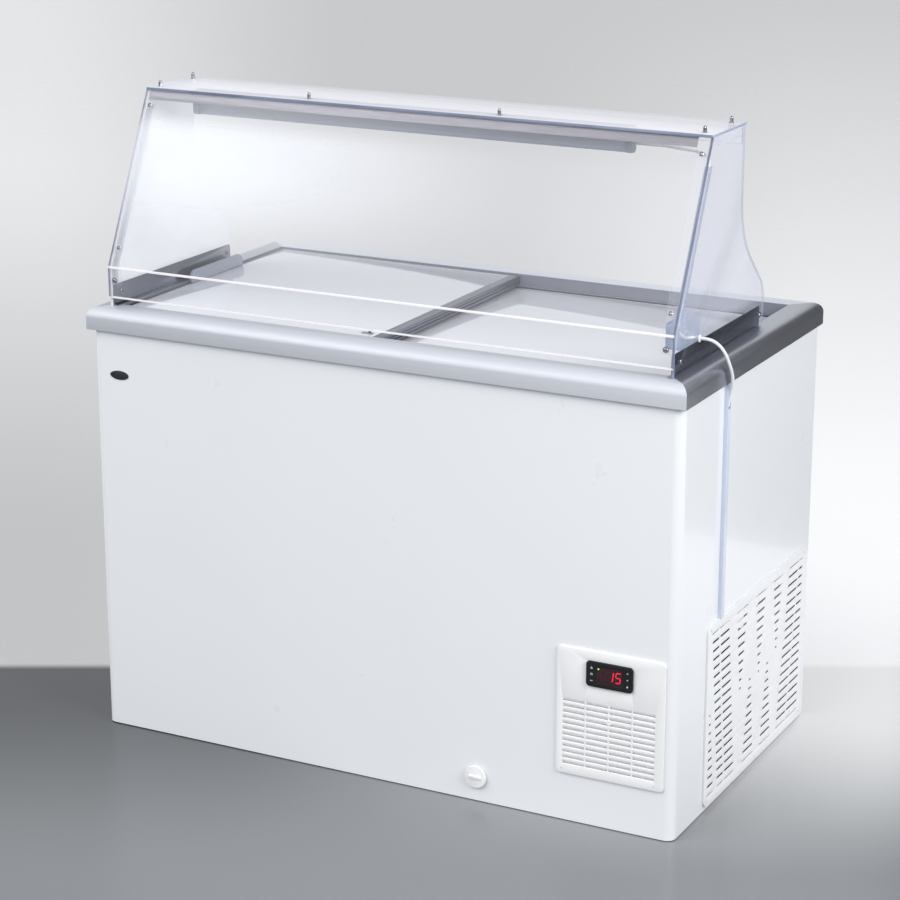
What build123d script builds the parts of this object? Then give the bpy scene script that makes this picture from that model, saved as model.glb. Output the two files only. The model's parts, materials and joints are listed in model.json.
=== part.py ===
"""Ice cream dipping cabinet: insulated chest, sliding glass lids, acrylic serving guard.

Frame: millimetres, +Z up, front towards -Y, X to the right.
The origin is on the floor, under the middle of the rim's outline.
"""
from build123d import *
from math import atan2, cos, pi, radians, sin, tan
import os

# ---------------------------------------------------------------- overall sizes
WIDTH = 1250.0            # rim, outside
DEPTH = 698.0             # rim, outside
RIM_Z = 864.0             # flat top of the rim
RIM_HEIGHT = 44.0
OVERHANG = 8.0            # rim beyond the body on all four sides
GUARD_HEIGHT = 398.0      # from the rim to the underside of the acrylic shelf
SHEET = 1.0               # steel and liner sheet
FIT = 0.4                 # gap between pieces that move past each other

# ---------------------------------------------------------------- body and base
BODY_BOTTOM = 2.0
BODY_TOP_DROP = 16.0      # body sheets end this far under the rim's top
BODY_CORNER = 18.0
PAN_Z = 10.0              # underside of the base pan
PAN_SHEET = 1.5
PAN_FLANGE = 6.0
FOOT_RADIUS = 22.0
FOOT_INSET = 70.0

# ---------------------------------------------------------------- rim and lid tracks
RIM_WIDTH = 52.0
RIM_SKIN = 3.0
RIM_RADIUS = 20.0
LIP_DEPTH = 12.0
TRACK_WALL = 3.0
UPPER_LEDGE = 7.0
LOWER_LEDGE = 13.0
LID_RECESS = 3.4          # upper lid below the rim's top
LID_LEVEL_GAP = 1.4       # lower lid below the upper ledge
LEDGE_THICK = 3.0
TRACK_FLANGE = 27.0

# ---------------------------------------------------------------- tank and insulation
TANK_SIDE_GAP = 10.0      # liner behind the inner face of the track, left and right
TANK_FLOOR = 110.0
STEP_GAP = 72.0           # foam between the deep well and the machinery bay
STEP_RISE = 61.0          # tank's shelf above the bay
COIL_GAP = 10.0
COIL_RADIUS = 4.0
COIL_BEND = 7.0           # tight enough to clear the tank's square corners
COIL_TURNS = 6
COIL_LIFT = 40.0          # lowest turn above the tank's shelf
COIL_TOP_GAP = 11.0
BAY_LENGTH = 245.0        # machinery bay, measured in from the right end
BAY_TOP = 369.0
RACK_RISE = 90.0          # rack above the tank's shelf
RACK_WIRE = 2.5
RACK_PITCH = 94.0

# ---------------------------------------------------------------- drain
DRAIN_STEP_GAP = 81.0     # drain from the well's right wall
DRAIN_WALL_GAP = 65.0     # and from its front wall
DRAIN_Z = 51.0
DRAIN_BORE = 9.0
DRAIN_WALL = 2.0
DRAIN_KNOB = 22.0

# ---------------------------------------------------------------- lids
LID_THICK = 19.2
LID_RAIL = 14.0
LID_STILE = 28.0
LID_SPLIT = -20.0
LID_OVERLAP = 30.0
LID_END_GAP = 1.0
GLASS = 4.0
GLASS_REBATE = 6.0
HANDLE_LENGTH = 190.0
HANDLE_HEIGHT = 25.0
HANDLE_THICK = 8.0
HANDLE_Y = 22.0
GRIP_HEIGHT = 3.4

# ---------------------------------------------------------------- serving guard
ACRYLIC = 5.0
GUARD_SIDE_INSET = 37.0   # side panels, in from the rim's ends
GUARD_FRONT_INSET = 27.0  # front panel, in from the rim's front
GUARD_BEND_RISE = 77.0    # bend above the rim
LEAN = 152.0              # how far the front leans back above the bend
SHELF_DEPTH = 158.0
GUARD_FRONT_GAP = 17.0    # front panel above the rim
WAIST_DROP = 132.0        # rear edge is straight for this far below the shelf
WAIST_RADIUS = 165.0
WAIST_TURN = 47.0
HIP_RADIUS = 60.0
HIP_RUN = 74.0
HEEL_RADIUS = 149.0
GUARD_LIP = 35.0
STRIP = 20.0
STRIP_THICK = 3.0
BRACKET_HEIGHT = 41.0
BRACKET_SHEET = 2.0
BRACKET_FOOT = 7.0
BRACKET_LENGTH = 420.0
RAIL_DROP = 18.0
RAIL_SHEET = 2.0
RAIL_END_GAP = 23.0
NUT_RADIUS = 3.6
NUT_HEIGHT = 9.0          # below its dome
SHELF_NUTS = (14.0, 348.0, 748.0)   # front row, from the left side panel
SHELF_NUT_END = 18.0                # last one, from the right side panel

# ---------------------------------------------------------------- lamp and its lead
LAMP_LEFT_GAP = 76.0      # between the lamp and the side panels
LAMP_RIGHT_GAP = 165.0
LAMP_SETBACK = 50.0       # lamp's middle behind the shelf's front edge
LAMP_WIDTH = 24.0
LAMP_BASE = 14.0
LAMP_HEIGHT = 48.0
LAMP_CAP = 12.0
CORD_DIA = 6.0
GROMMET_LIP = 2.0
DUCT_SETBACK = 207.0      # duct's middle behind the rim's front
DUCT_WIDTH = 13.0
DUCT_MOUTH = 48.0         # open stretch of the duct below the rim
DUCT_WALL = 0.9
CHANNEL_WIDTH = 11.0
CHANNEL_DEPTH = 10.0

# ---------------------------------------------------------------- control panel and grille
PANEL_END_GAP = 19.0      # panel's right edge from the body's
PANEL_WIDTH = 213.0
PANEL_LOW = 97.0
PANEL_HEIGHT = 249.0
PANEL_LAP = 10.0          # panel and grille over the edge of their openings
PANEL_THICK = 3.5
PANEL_CORNER = 8.0
LOUVRE_LEFT = 12.0        # louvre field in from the panel's edges
LOUVRE_RIGHT = 18.0
LOUVRE_LOW = 16.0
LOUVRE_HEIGHT = 135.0
LOUVRE_ROWS = 12
LOUVRE_COLUMNS = 4
LOUVRE_BAR = 3.0
LOUVRE_SLOT = 5.6
METER_LEFT = 59.0         # thermostat in from the panel's left edge
METER_DOWN = 18.0         # and down from its top edge
METER_WIDTH = 92.0
METER_HEIGHT = 49.0
METER_RIM = (2.0, 3.0)    # face beyond the case, sideways and up
METER_FACE = 4.0
METER_DEPTH = 60.0
KEY_SIZE = 7.0
KEY_TRAVEL = 0.5
GRILLE_FRONT_GAP = 141.0  # grille in from the body's front and rear
GRILLE_REAR_GAP = 28.0
GRILLE_Z = (10.0, 372.0)
GRILLE_THICK = 4.5
GRILLE_CORNER = 18.0
GRILLE_MARGIN = 15.0
GRILLE_ROWS = 19
GRILLE_SLOT = 4.6
GRILLE_SLANT = 0.098
# slot columns as shares of the field's width: left edge, right edge at the top row,
# and which way each edge leans on the way down
GRILLE_COLUMNS = (
    (0.000, -0.035, 0, 1),
    (0.007, 0.073, 1, 1),
    (0.087, 0.182, 1, 1),
    (0.265, 0.380, 1, -1),
    (0.469, 0.391, -1, 1),
    (0.468, 0.580, 1, -1),
    (0.662, 0.584, -1, 1),
    (0.666, 0.769, 1, -1),
    (0.848, 0.955, -1, -1),
    (0.967, 1.000, -1, 0),
)

# ---------------------------------------------------------------- machinery
FAN_AHEAD = 250.0         # fan's axis in front of the compressor's middle
FAN_Z = 175.0
FAN_RADIUS = 92.0
FAN_BLADES = 5
FAN_GAP = 5.0
FAN_HALF_DEPTH = 14.0
HUB_RADIUS = 22.0
SHAFT_RADIUS = 3.0
SHAFT_FIT = 0.05
MOTOR_RADIUS = 30.0
COMPRESSOR_RADIUS = 78.0
COMPRESSOR_HEIGHT = 125.0
COMPRESSOR_GAP = (90.0, 151.0)      # its middle, from the bay's left wall and the body's rear
MOUNT_HEIGHT = 14.0
CONDENSER_GAP = 17.0      # condenser in from the body's right side
CONDENSER_DEPTH = 28.0
CONDENSER_HALF = 110.0
CONDENSER_HALF_HEIGHT = 105.0
CONDENSER_ROWS = 8
FIN_PITCH = 10.0
COIL_TUBE = 4.0
GLAND_GAP = 60.0          # supply lead's gland from the bay's left wall
GLAND_Z = 80.0
GLAND_RADIUS = 12.0
VENT_SLOTS = 6

# ---------------------------------------------------------------- places worked out
HALF_W = WIDTH / 2
HALF_D = DEPTH / 2
RIM_BOTTOM = RIM_Z - RIM_HEIGHT
BODY_X = HALF_W - OVERHANG
BODY_Y = HALF_D - OVERHANG
BODY_TOP = RIM_Z - BODY_TOP_DROP
TRACK_X = HALF_W - RIM_WIDTH - TRACK_WALL     # inner face of the lid track, left and right
TRACK_Y = HALF_D - RIM_WIDTH - TRACK_WALL     # inner face of the lid track, front and rear
UPPER_LEDGE_Z = RIM_Z - LID_RECESS - LID_THICK - FIT
LOWER_LEDGE_Z = UPPER_LEDGE_Z - LEDGE_THICK - LID_LEVEL_GAP - LID_THICK - FIT
FLANGE_TOP = LOWER_LEDGE_Z - LEDGE_THICK
FOAM_TOP = FLANGE_TOP - LEDGE_THICK
TANK_X = TRACK_X - TANK_SIDE_GAP
TANK_Y = TRACK_Y - LOWER_LEDGE - SHEET
BAY_X = BODY_X - BAY_LENGTH                   # left wall of the machinery bay
STEP_X = BAY_X - STEP_GAP                     # right wall of the deep well
STEP_Z = BAY_TOP + STEP_RISE
COIL_LOW = STEP_Z + COIL_LIFT
COIL_PITCH = (FOAM_TOP - COIL_TOP_GAP - COIL_LOW) / COIL_TURNS
RACK_Z = STEP_Z + RACK_RISE
DRAIN_X = STEP_X - DRAIN_STEP_GAP
DRAIN_Y = -TANK_Y + DRAIN_WALL_GAP

GUARD_HALF = HALF_W - GUARD_SIDE_INSET        # outer face of each side panel
SIDE_INNER = GUARD_HALF - ACRYLIC
GUARD_FRONT = -HALF_D + GUARD_FRONT_INSET     # outer face of the front panel
GUARD_TOP_FRONT = GUARD_FRONT + LEAN
GUARD_TOP_REAR = GUARD_TOP_FRONT + SHELF_DEPTH
GUARD_TOP = RIM_Z + GUARD_HEIGHT
GUARD_BEND_Z = RIM_Z + GUARD_BEND_RISE
SLOPE = LEAN / (GUARD_TOP - GUARD_BEND_Z)     # run over rise of the slanted front
LAMP_Y = GUARD_TOP_FRONT + LAMP_SETBACK
CHANNEL_LOW = GUARD_BEND_Z + 14
CHANNEL_HIGH = GUARD_TOP - 52
CORD_EXIT = (GUARD_HALF + GROMMET_LIP, GUARD_FRONT + 117, RIM_Z + 48)
DUCT_Y = -HALF_D + DUCT_SETBACK
PAN_TOP = PAN_Z + PAN_SHEET

PANEL_X = (BODY_X - PANEL_END_GAP - PANEL_WIDTH, BODY_X - PANEL_END_GAP)
PANEL_Z = (PANEL_LOW, PANEL_LOW + PANEL_HEIGHT)
LOUVRE_X = (PANEL_X[0] + LOUVRE_LEFT, PANEL_X[1] - LOUVRE_RIGHT)
LOUVRE_Z = (PANEL_LOW + LOUVRE_LOW, PANEL_LOW + LOUVRE_LOW + LOUVRE_HEIGHT)
METER_X = (PANEL_X[0] + METER_LEFT, PANEL_X[0] + METER_LEFT + METER_WIDTH)
METER_Z = (PANEL_Z[1] - METER_DOWN - METER_HEIGHT, PANEL_Z[1] - METER_DOWN)
GRILLE_Y = (-BODY_Y + GRILLE_FRONT_GAP, BODY_Y - GRILLE_REAR_GAP)

CONDENSER_X = (BODY_X - CONDENSER_GAP - CONDENSER_DEPTH, BODY_X - CONDENSER_GAP)
SHROUD_X = (CONDENSER_X[0] - 6, CONDENSER_X[0] - 4)
FAN_X = SHROUD_X[0] - 24
COMPRESSOR_X = BAY_X + COMPRESSOR_GAP[0]
COMPRESSOR_Y = BODY_Y - COMPRESSOR_GAP[1]
FAN_Y = COMPRESSOR_Y - FAN_AHEAD


# ---------------------------------------------------------------- shape helpers
def block(x, y, z):
    """Box between two values on each axis."""
    centre = Pos((x[0] + x[1]) / 2, (y[0] + y[1]) / 2, (z[0] + z[1]) / 2)
    return centre * Box(x[1] - x[0], y[1] - y[0], z[1] - z[0])


def shrink(span, by):
    """Two values on an axis, moved towards each other."""
    return (span[0] + by, span[1] - by)


def rod(start, end, radius):
    """Round bar from one point to another."""
    start, end = Vector(*start), Vector(*end)
    axis = Plane(origin=start, z_dir=end - start)
    ends = (Align.CENTER, Align.CENTER, Align.MIN)
    return axis * Cylinder(radius, (end - start).length, align=ends)


def prism_x(points, x):
    """Outline in Y and Z, carried along X."""
    face = Plane.YZ.offset(x[0]) * make_face(Polyline(*points, close=True))
    return extrude(face, amount=x[1] - x[0], dir=(1, 0, 0))


def prism_z(points, z):
    """Outline in X and Y, carried up."""
    face = Plane.XY.offset(z[0]) * make_face(Polyline(*points, close=True))
    return extrude(face, amount=z[1] - z[0], dir=(0, 0, 1))


def tube_along(points, radii, radius):
    """Round bar along straight runs joined by arcs."""
    path = FilletPolyline(*points, radius=radii)
    start = Plane(origin=path @ 0, z_dir=path % 0)
    return sweep(start * Circle(radius), path=path)


def bend_radii(points):
    """Largest arc at each corner that its two runs allow."""
    radii = []
    for before, at, after in zip(points, points[1:], points[2:]):
        into = Vector(*at) - Vector(*before)
        out = Vector(*after) - Vector(*at)
        half_turn = radians(into.get_angle(out) / 2)
        radii.append(0.45 * min(into.length, out.length) / tan(half_turn))
    return radii


def lean_angle():
    """Angle between the slanted front and the vertical."""
    return atan2(LEAN, GUARD_TOP - GUARD_BEND_Z)


def bend_height(offset):
    """Height of the front's bend, that far behind its outer face."""
    return GUARD_BEND_Z - offset * tan(lean_angle() / 2)


def front_line(offset, z):
    """Y of the guard's front, that far behind its outer face, at height z."""
    return GUARD_FRONT + offset + max(0.0, z - bend_height(offset)) * SLOPE


def guard_band(near, far, low, high, x):
    """Strip that follows the guard's bent front between two offsets."""
    def line(offset):
        return [(front_line(offset, low), low), (GUARD_FRONT + offset, bend_height(offset)),
                (front_line(offset, high), high)]
    return prism_x(line(near) + line(far)[::-1], x)


def outline_face(pieces):
    """Face inside a closed chain of lines and arcs."""
    return make_face(Curve() + pieces)


def mirror_x(shape):
    """The same shape on the other side of the middle."""
    return mirror(shape, about=Plane.YZ)


def write(name, *solids):
    """One file for one node."""
    shape = solids[0] if len(solids) == 1 else Compound(children=list(solids))
    export_step(shape, f"parts/{name}.step")


# ---------------------------------------------------------------- body
def body_outline(inset):
    """Plan of the wrap, open past the rear, with rounded front corners."""
    x, front, rear = BODY_X - inset, -BODY_Y + inset, BODY_Y
    outline = Polyline((-x, front), (x, front), (x, rear), (-x, rear), close=True)
    face = make_face(outline)
    corners = face.vertices().sort_by(Axis.Y)[:2]
    return fillet(corners, BODY_CORNER - inset)


def outer_shell():
    height = BODY_TOP - BODY_BOTTOM
    start = Pos(0, 0, BODY_BOTTOM)
    wrap = start * extrude(body_outline(0), height) - start * extrude(body_outline(SHEET), height)
    lap = PANEL_LAP
    wrap -= block((PANEL_X[0] + lap, PANEL_X[1] - lap), (-BODY_Y - 1, -BODY_Y + 2),
                  (PANEL_Z[0] + lap, PANEL_Z[1] - lap))
    wrap -= block((BODY_X - 2, BODY_X + 1), (GRILLE_Y[0] + lap, GRILLE_Y[1] - lap),
                  (GRILLE_Z[0] + lap, GRILLE_Z[1] - lap))
    wrap -= rod((DRAIN_X, -BODY_Y - 1, DRAIN_Z), (DRAIN_X, -BODY_Y + 2, DRAIN_Z),
                DRAIN_BORE + DRAIN_WALL + FIT)
    return wrap


def rear_panel():
    """Flat back with a row of vent slots behind the machinery bay and a hole for the supply lead."""
    x = BODY_X - SHEET
    panel = block((-x, x), (BODY_Y - SHEET, BODY_Y), (BODY_BOTTOM, BODY_TOP))
    slots = [block((BAY_X + 40 + 30 * i, BAY_X + 54 + 30 * i), (BODY_Y - 3, BODY_Y + 1), (150, 320))
             for i in range(VENT_SLOTS)]
    x = BAY_X + GLAND_GAP
    gland = rod((x, BODY_Y - 3, GLAND_Z), (x, BODY_Y + 1, GLAND_Z), GLAND_RADIUS)
    return panel - slots - gland


def base_pan():
    x, y = BODY_X - SHEET, BODY_Y - SHEET
    tray = extrude(body_outline(SHEET), PAN_SHEET + PAN_FLANGE)
    tray -= extrude(body_outline(SHEET + PAN_SHEET), PAN_FLANGE)
    tray = Pos(0, 0, PAN_TOP - PAN_SHEET - PAN_FLANGE) * tray
    return tray & block((-x, x), (-y, y), (0, PAN_TOP))


def levelling_feet():
    feet = []
    for x in (-BODY_X + FOOT_INSET, BODY_X - FOOT_INSET):
        for y in (-BODY_Y + FOOT_INSET, BODY_Y - FOOT_INSET):
            pad = Pos(x, y, 3) * Cylinder(FOOT_RADIUS, 6)
            stem = rod((x, y, 6), (x, y, PAN_Z), FOOT_RADIUS / 2)
            feet.append(pad + stem)
    return feet


def drain_path():
    front = -BODY_Y
    return [(DRAIN_X, DRAIN_Y, TANK_FLOOR), (DRAIN_X, DRAIN_Y, DRAIN_Z), (DRAIN_X, front, DRAIN_Z)]


def foam_insulation():
    block_foam = Pos(0, 0, PAN_TOP) * extrude(body_outline(SHEET), FOAM_TOP - PAN_TOP)
    gap = SHEET + COIL_GAP
    inner = BODY_Y - SHEET
    x, y = TANK_X + gap, TANK_Y + gap
    well = block((-x, STEP_X + gap), (-y, y), (TANK_FLOOR - gap, FOAM_TOP + 1))
    shelf = block((STEP_X, x), (-y, y), (STEP_Z - gap, FOAM_TOP + 1))
    bay = block((BAY_X, BODY_X), (-BODY_Y, BODY_Y), (0, BAY_TOP))
    foam = block_foam & block((-BODY_X, BODY_X), (-BODY_Y, inner), (0, FOAM_TOP))
    drain = tube_along(drain_path(), 22, DRAIN_BORE + DRAIN_WALL + FIT)
    return foam - well - shelf - bay - drain


def inner_liner():
    """Tank of flat sheets with a step over the machinery bay."""
    x, y, top = TANK_X, TANK_Y, FOAM_TOP
    t = SHEET
    profile = [(-x, top), (-x, TANK_FLOOR), (STEP_X, TANK_FLOOR), (STEP_X, STEP_Z), (x, STEP_Z), (x, top)]
    walls = []
    for face_y in (-y - t, y):
        wall = Plane.XZ.offset(-face_y) * make_face(Polyline(*profile, close=True))
        walls.append(extrude(wall, amount=t, dir=(0, 1, 0)))
    edge = (-y - t, y + t)
    floor = block((-x, STEP_X), edge, (TANK_FLOOR - t, TANK_FLOOR))
    floor -= rod((DRAIN_X, DRAIN_Y, 0), (DRAIN_X, DRAIN_Y, TANK_FLOOR + 1), DRAIN_BORE + DRAIN_WALL)
    riser = block((STEP_X, STEP_X + t), edge, (TANK_FLOOR - t, STEP_Z - t))
    shelf = block((STEP_X, x), edge, (STEP_Z - t, STEP_Z))
    left = block((-x - t, -x), edge, (TANK_FLOOR - t, top))
    right = block((x, x + t), edge, (STEP_Z - t, top))
    return walls + [floor, riser, shelf, left, right]


def evaporator_coil():
    """One tube wound round the tank in the gap behind the liner."""
    x = TANK_X + SHEET + COIL_GAP / 2
    y = TANK_Y + SHEET + COIL_GAP / 2
    corners = [(-x, -y), (x, -y), (x, y), (-x, y)]
    points = []
    for i in range(4 * COIL_TURNS + 1):
        px, py = corners[i % 4]
        points.append((px, py, COIL_LOW + i * COIL_PITCH / 4))
    return tube_along(points, COIL_BEND, COIL_RADIUS)


def storage_rack():
    """Lift-out shelf of crossed wires that splits the tank in two levels."""
    wires = []
    count = int(2 * TANK_X / RACK_PITCH)
    for i in range(count):
        x = (i - (count - 1) / 2) * RACK_PITCH
        wires.append(rod((x, -TANK_Y, RACK_Z), (x, TANK_Y, RACK_Z), RACK_WIRE))
    for y in (-TANK_Y * 0.8, 0.0, TANK_Y * 0.8):
        low = RACK_Z - 2 * RACK_WIRE
        wires.append(rod((-TANK_X, y, low), (TANK_X, y, low), RACK_WIRE))
    return wires


# ---------------------------------------------------------------- rim and tracks
def rim_profile():
    """Bullnose section, as distance in from the outside and height."""
    t, r = RIM_SKIN, RIM_RADIUS
    shoulder = RIM_Z - r
    low = RIM_BOTTOM
    k = sin(radians(45))
    edges = [
        Polyline((OVERHANG, low), (0, low), (0, shoulder)),
        ThreePointArc((0, shoulder), (r - r * k, shoulder + r * k), (r, RIM_Z)),
        Polyline((r, RIM_Z), (RIM_WIDTH, RIM_Z), (RIM_WIDTH, RIM_Z - LIP_DEPTH),
                 (RIM_WIDTH - t, RIM_Z - LIP_DEPTH), (RIM_WIDTH - t, RIM_Z - t), (r, RIM_Z - t)),
        ThreePointArc((r, RIM_Z - t), (r - (r - t) * k, shoulder + (r - t) * k), (t, shoulder)),
        Polyline((t, shoulder), (t, low + t), (OVERHANG, low + t), (OVERHANG, low)),
    ]
    return outline_face(edges)


def rim_length(plane, length, plan):
    """Run of rim section along its wall, cut to a mitre at both ends."""
    bar = extrude(plane * rim_profile(), amount=length, both=True)
    return bar & prism_z(plan, (RIM_BOTTOM - 1, RIM_Z + 1))


def rims():
    x, y, w = HALF_W, HALF_D, RIM_WIDTH + 4
    front = Plane(origin=(0, -y, 0), x_dir=(0, 1, 0), z_dir=(1, 0, 0))
    right = Plane(origin=(x, 0, 0), x_dir=(-1, 0, 0), z_dir=(0, 1, 0))
    front_plan = [(-x, -y), (x, -y), (x - w, -y + w), (-x + w, -y + w)]
    right_plan = [(x, -y), (x, y), (x - w, y - w), (x - w, -y + w)]
    front_rim = rim_length(front, x, front_plan)
    right_rim = rim_length(right, y, right_plan)
    rear_rim = mirror(front_rim, about=Plane.XZ)
    return front_rim, rear_rim, mirror_x(right_rim), right_rim


def lid_tracks():
    """Front and rear plastic tracks: a wall with an upper and a lower ledge on a flat flange."""
    d = TRACK_Y
    w, t = TRACK_WALL, LEDGE_THICK
    top = RIM_Z - 1
    section = [
        (-d - w, top), (-d, top), (-d, UPPER_LEDGE_Z), (-d + UPPER_LEDGE, UPPER_LEDGE_Z),
        (-d + UPPER_LEDGE, UPPER_LEDGE_Z - t), (-d, UPPER_LEDGE_Z - t), (-d, LOWER_LEDGE_Z),
        (-d + LOWER_LEDGE, LOWER_LEDGE_Z), (-d + LOWER_LEDGE, FOAM_TOP),
        (-d - TRACK_FLANGE, FOAM_TOP), (-d - TRACK_FLANGE, FLANGE_TOP), (-d - w, FLANGE_TOP),
    ]
    front = prism_x(section, (-TRACK_X, TRACK_X))
    return [front, mirror(front, about=Plane.XZ)]


def end_trims():
    """Plain walls that close the track at the left and right ends."""
    wall = block((TRACK_X, TRACK_X + TRACK_WALL), (-TRACK_Y - TRACK_WALL, TRACK_Y + TRACK_WALL),
                 (FOAM_TOP, RIM_Z - 1))
    flange = block((TRACK_X + TRACK_WALL, TRACK_X + TRACK_FLANGE), (-TRACK_Y, TRACK_Y),
                   (FOAM_TOP, FLANGE_TOP))
    ledge_y = TRACK_Y - LOWER_LEDGE
    ledge = block((TANK_X, TRACK_X), (-ledge_y, ledge_y), (FOAM_TOP, LOWER_LEDGE_Z))
    right = wall + flange + ledge
    return [mirror_x(right), right]


# ---------------------------------------------------------------- lids
def lid_frame(x, low, stile_side):
    """Frame with a rebate for the pane; the meeting stile is stepped on its outer face."""
    y = TRACK_Y - LID_END_GAP
    top = low + LID_THICK
    frame = block(x, (-y, y), (low, top))
    left = LID_STILE if stile_side < 0 else LID_RAIL
    right = LID_STILE if stile_side > 0 else LID_RAIL
    hole = (x[0] + left, x[1] - right), (-y + LID_RAIL, y - LID_RAIL)
    frame -= block(hole[0], hole[1], (low - 1, top + 1))
    frame -= block(*pane_area(x, y, stile_side, FIT), (top - GLASS - FIT, top + 1))
    face = x[1] if stile_side > 0 else x[0]
    for z, deep in ((low + LID_THICK * 0.35, 2.5), (low + LID_THICK * 0.68, 1.5)):
        frame -= block((face - deep, face + deep), (-y - 1, y + 1), (z - 1, z + 1))
    return frame


def pane_area(x, y, stile_side, gap):
    """Plan of the pane, grown by a gap."""
    left = LID_STILE if stile_side < 0 else LID_RAIL
    right = LID_STILE if stile_side > 0 else LID_RAIL
    r = GLASS_REBATE + gap
    return ((x[0] + left - r, x[1] - right + r), (-y + LID_RAIL - r, y - LID_RAIL + r))


def lid_pane(x, low, stile_side):
    y = TRACK_Y - LID_END_GAP
    top = low + LID_THICK
    return block(*pane_area(x, y, stile_side, 0), (top - GLASS - FIT, top - FIT))


def upper_lid():
    x = (-TRACK_X + LID_END_GAP, LID_SPLIT + LID_OVERLAP / 2)
    low = UPPER_LEDGE_Z + FIT
    top = low + LID_THICK
    frame = lid_frame(x, low, 1)
    pane = lid_pane(x, low, 1)
    blade_x = x[0] + 7 - HANDLE_THICK / 2
    r = HANDLE_HEIGHT * 0.6
    half = HANDLE_LENGTH / 2
    side = make_face(Polyline((HANDLE_Y - half, top), (HANDLE_Y + half, top),
                              (HANDLE_Y + half, top + HANDLE_HEIGHT),
                              (HANDLE_Y - half, top + HANDLE_HEIGHT), close=True))
    side = fillet(side.vertices().group_by(Axis.Y)[-1], r)
    blade = extrude(Plane.YZ.offset(blade_x) * side, amount=HANDLE_THICK, dir=(1, 0, 0))
    catch_x = x[1] - LID_STILE - 26
    catch_y = -TRACK_Y + LID_RAIL + 8
    foot_z = top - FIT
    catch = block((catch_x, catch_x + 22), (catch_y, catch_y + 9), (foot_z, foot_z + 2))
    catch += block((catch_x + 15, catch_x + 17), (catch_y, catch_y + 9), (foot_z, foot_z + 8))
    return frame, pane, blade, catch


def lower_lid():
    x = (LID_SPLIT - LID_OVERLAP / 2, TRACK_X - LID_END_GAP)
    low = LOWER_LEDGE_Z + FIT
    top = low + LID_THICK
    frame = lid_frame(x, low, -1)
    pane = lid_pane(x, low, -1)
    grip = block((x[1] - 13, x[1] - 3), (HANDLE_Y - 80, HANDLE_Y + 80), (top, top + GRIP_HEIGHT))
    return frame, pane, grip


# ---------------------------------------------------------------- serving guard
def guard_side():
    """Right side panel: slanted front edge and a waisted rear edge."""
    inner_front = front_line(ACRYLIC, RIM_Z)
    bend = bend_height(ACRYLIC)
    turn = radians(WAIST_TURN)
    y0, z0 = GUARD_TOP_REAR, GUARD_TOP - WAIST_DROP
    y1, z1 = y0 + WAIST_RADIUS * (1 - cos(turn)), z0 - WAIST_RADIUS * sin(turn)
    run = HIP_RUN
    y2, z2 = y1 + run * sin(turn), z1 - run * cos(turn)
    y3, z3 = y2 + HIP_RADIUS * (1 - cos(turn)), z2 - HIP_RADIUS * sin(turn)
    waist_mid = (y0 + WAIST_RADIUS * (1 - cos(turn / 2)), z0 - WAIST_RADIUS * sin(turn / 2))
    hip_centre = (y3 - HIP_RADIUS, z3)
    hip_mid = (hip_centre[0] + HIP_RADIUS * cos(turn / 2), hip_centre[1] + HIP_RADIUS * sin(turn / 2))
    drop = z3 - RIM_Z
    y4 = y3 - HEEL_RADIUS + (HEEL_RADIUS ** 2 - drop ** 2) ** 0.5
    heel_mid = (y3 - HEEL_RADIUS + (HEEL_RADIUS ** 2 - (drop / 2) ** 2) ** 0.5, z3 - drop / 2)
    outline = outline_face([
        Polyline((y4, RIM_Z), (inner_front, RIM_Z), (inner_front, bend),
                 (front_line(ACRYLIC, GUARD_TOP), GUARD_TOP), (y0, GUARD_TOP), (y0, z0)),
        ThreePointArc((y0, z0), waist_mid, (y1, z1)),
        Line((y1, z1), (y2, z2)),
        ThreePointArc((y2, z2), hip_mid, (y3, z3)),
        ThreePointArc((y3, z3), heel_mid, (y4, RIM_Z)),
    ])
    return extrude(Plane.YZ.offset(SIDE_INNER) * outline, amount=ACRYLIC, dir=(1, 0, 0))


def guard_top():
    """Flat shelf with a lip turned down along the rear."""
    shelf_x = (-GUARD_HALF, GUARD_HALF)
    shelf = block(shelf_x, (GUARD_TOP_FRONT, GUARD_TOP_REAR + ACRYLIC), (GUARD_TOP, GUARD_TOP + ACRYLIC))
    lip_x = (-SIDE_INNER, SIDE_INNER)
    lip_y = (GUARD_TOP_REAR - ACRYLIC, GUARD_TOP_REAR)
    return shelf + block(lip_x, lip_y, (GUARD_TOP - GUARD_LIP, GUARD_TOP))


def corner_strip():
    """Right-hand acrylic angle behind the bent front."""
    low, high = RIM_Z + BRACKET_HEIGHT + 1, GUARD_TOP - RAIL_DROP - 4
    front = guard_band(ACRYLIC, ACRYLIC + STRIP_THICK, low, high, (SIDE_INNER - STRIP, SIDE_INNER))
    side = guard_band(ACRYLIC, ACRYLIC + STRIP, low, high - 8, (SIDE_INNER - STRIP_THICK, SIDE_INNER))
    return front + side


def top_strips():
    """Acrylic angles that join the shelf to the side panels."""
    y = (front_line(ACRYLIC + 34, GUARD_TOP), GUARD_TOP_REAR - ACRYLIC - 3)
    x, t = SIDE_INNER, STRIP_THICK
    right = block((x - STRIP, x), y, (GUARD_TOP - t, GUARD_TOP))
    right += block((x - t, x), y, (GUARD_TOP - STRIP, GUARD_TOP))
    return [mirror_x(right), right]


def bracket_bounds():
    front = front_line(ACRYLIC, RIM_Z) + 2
    return (front, front + BRACKET_LENGTH)


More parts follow.
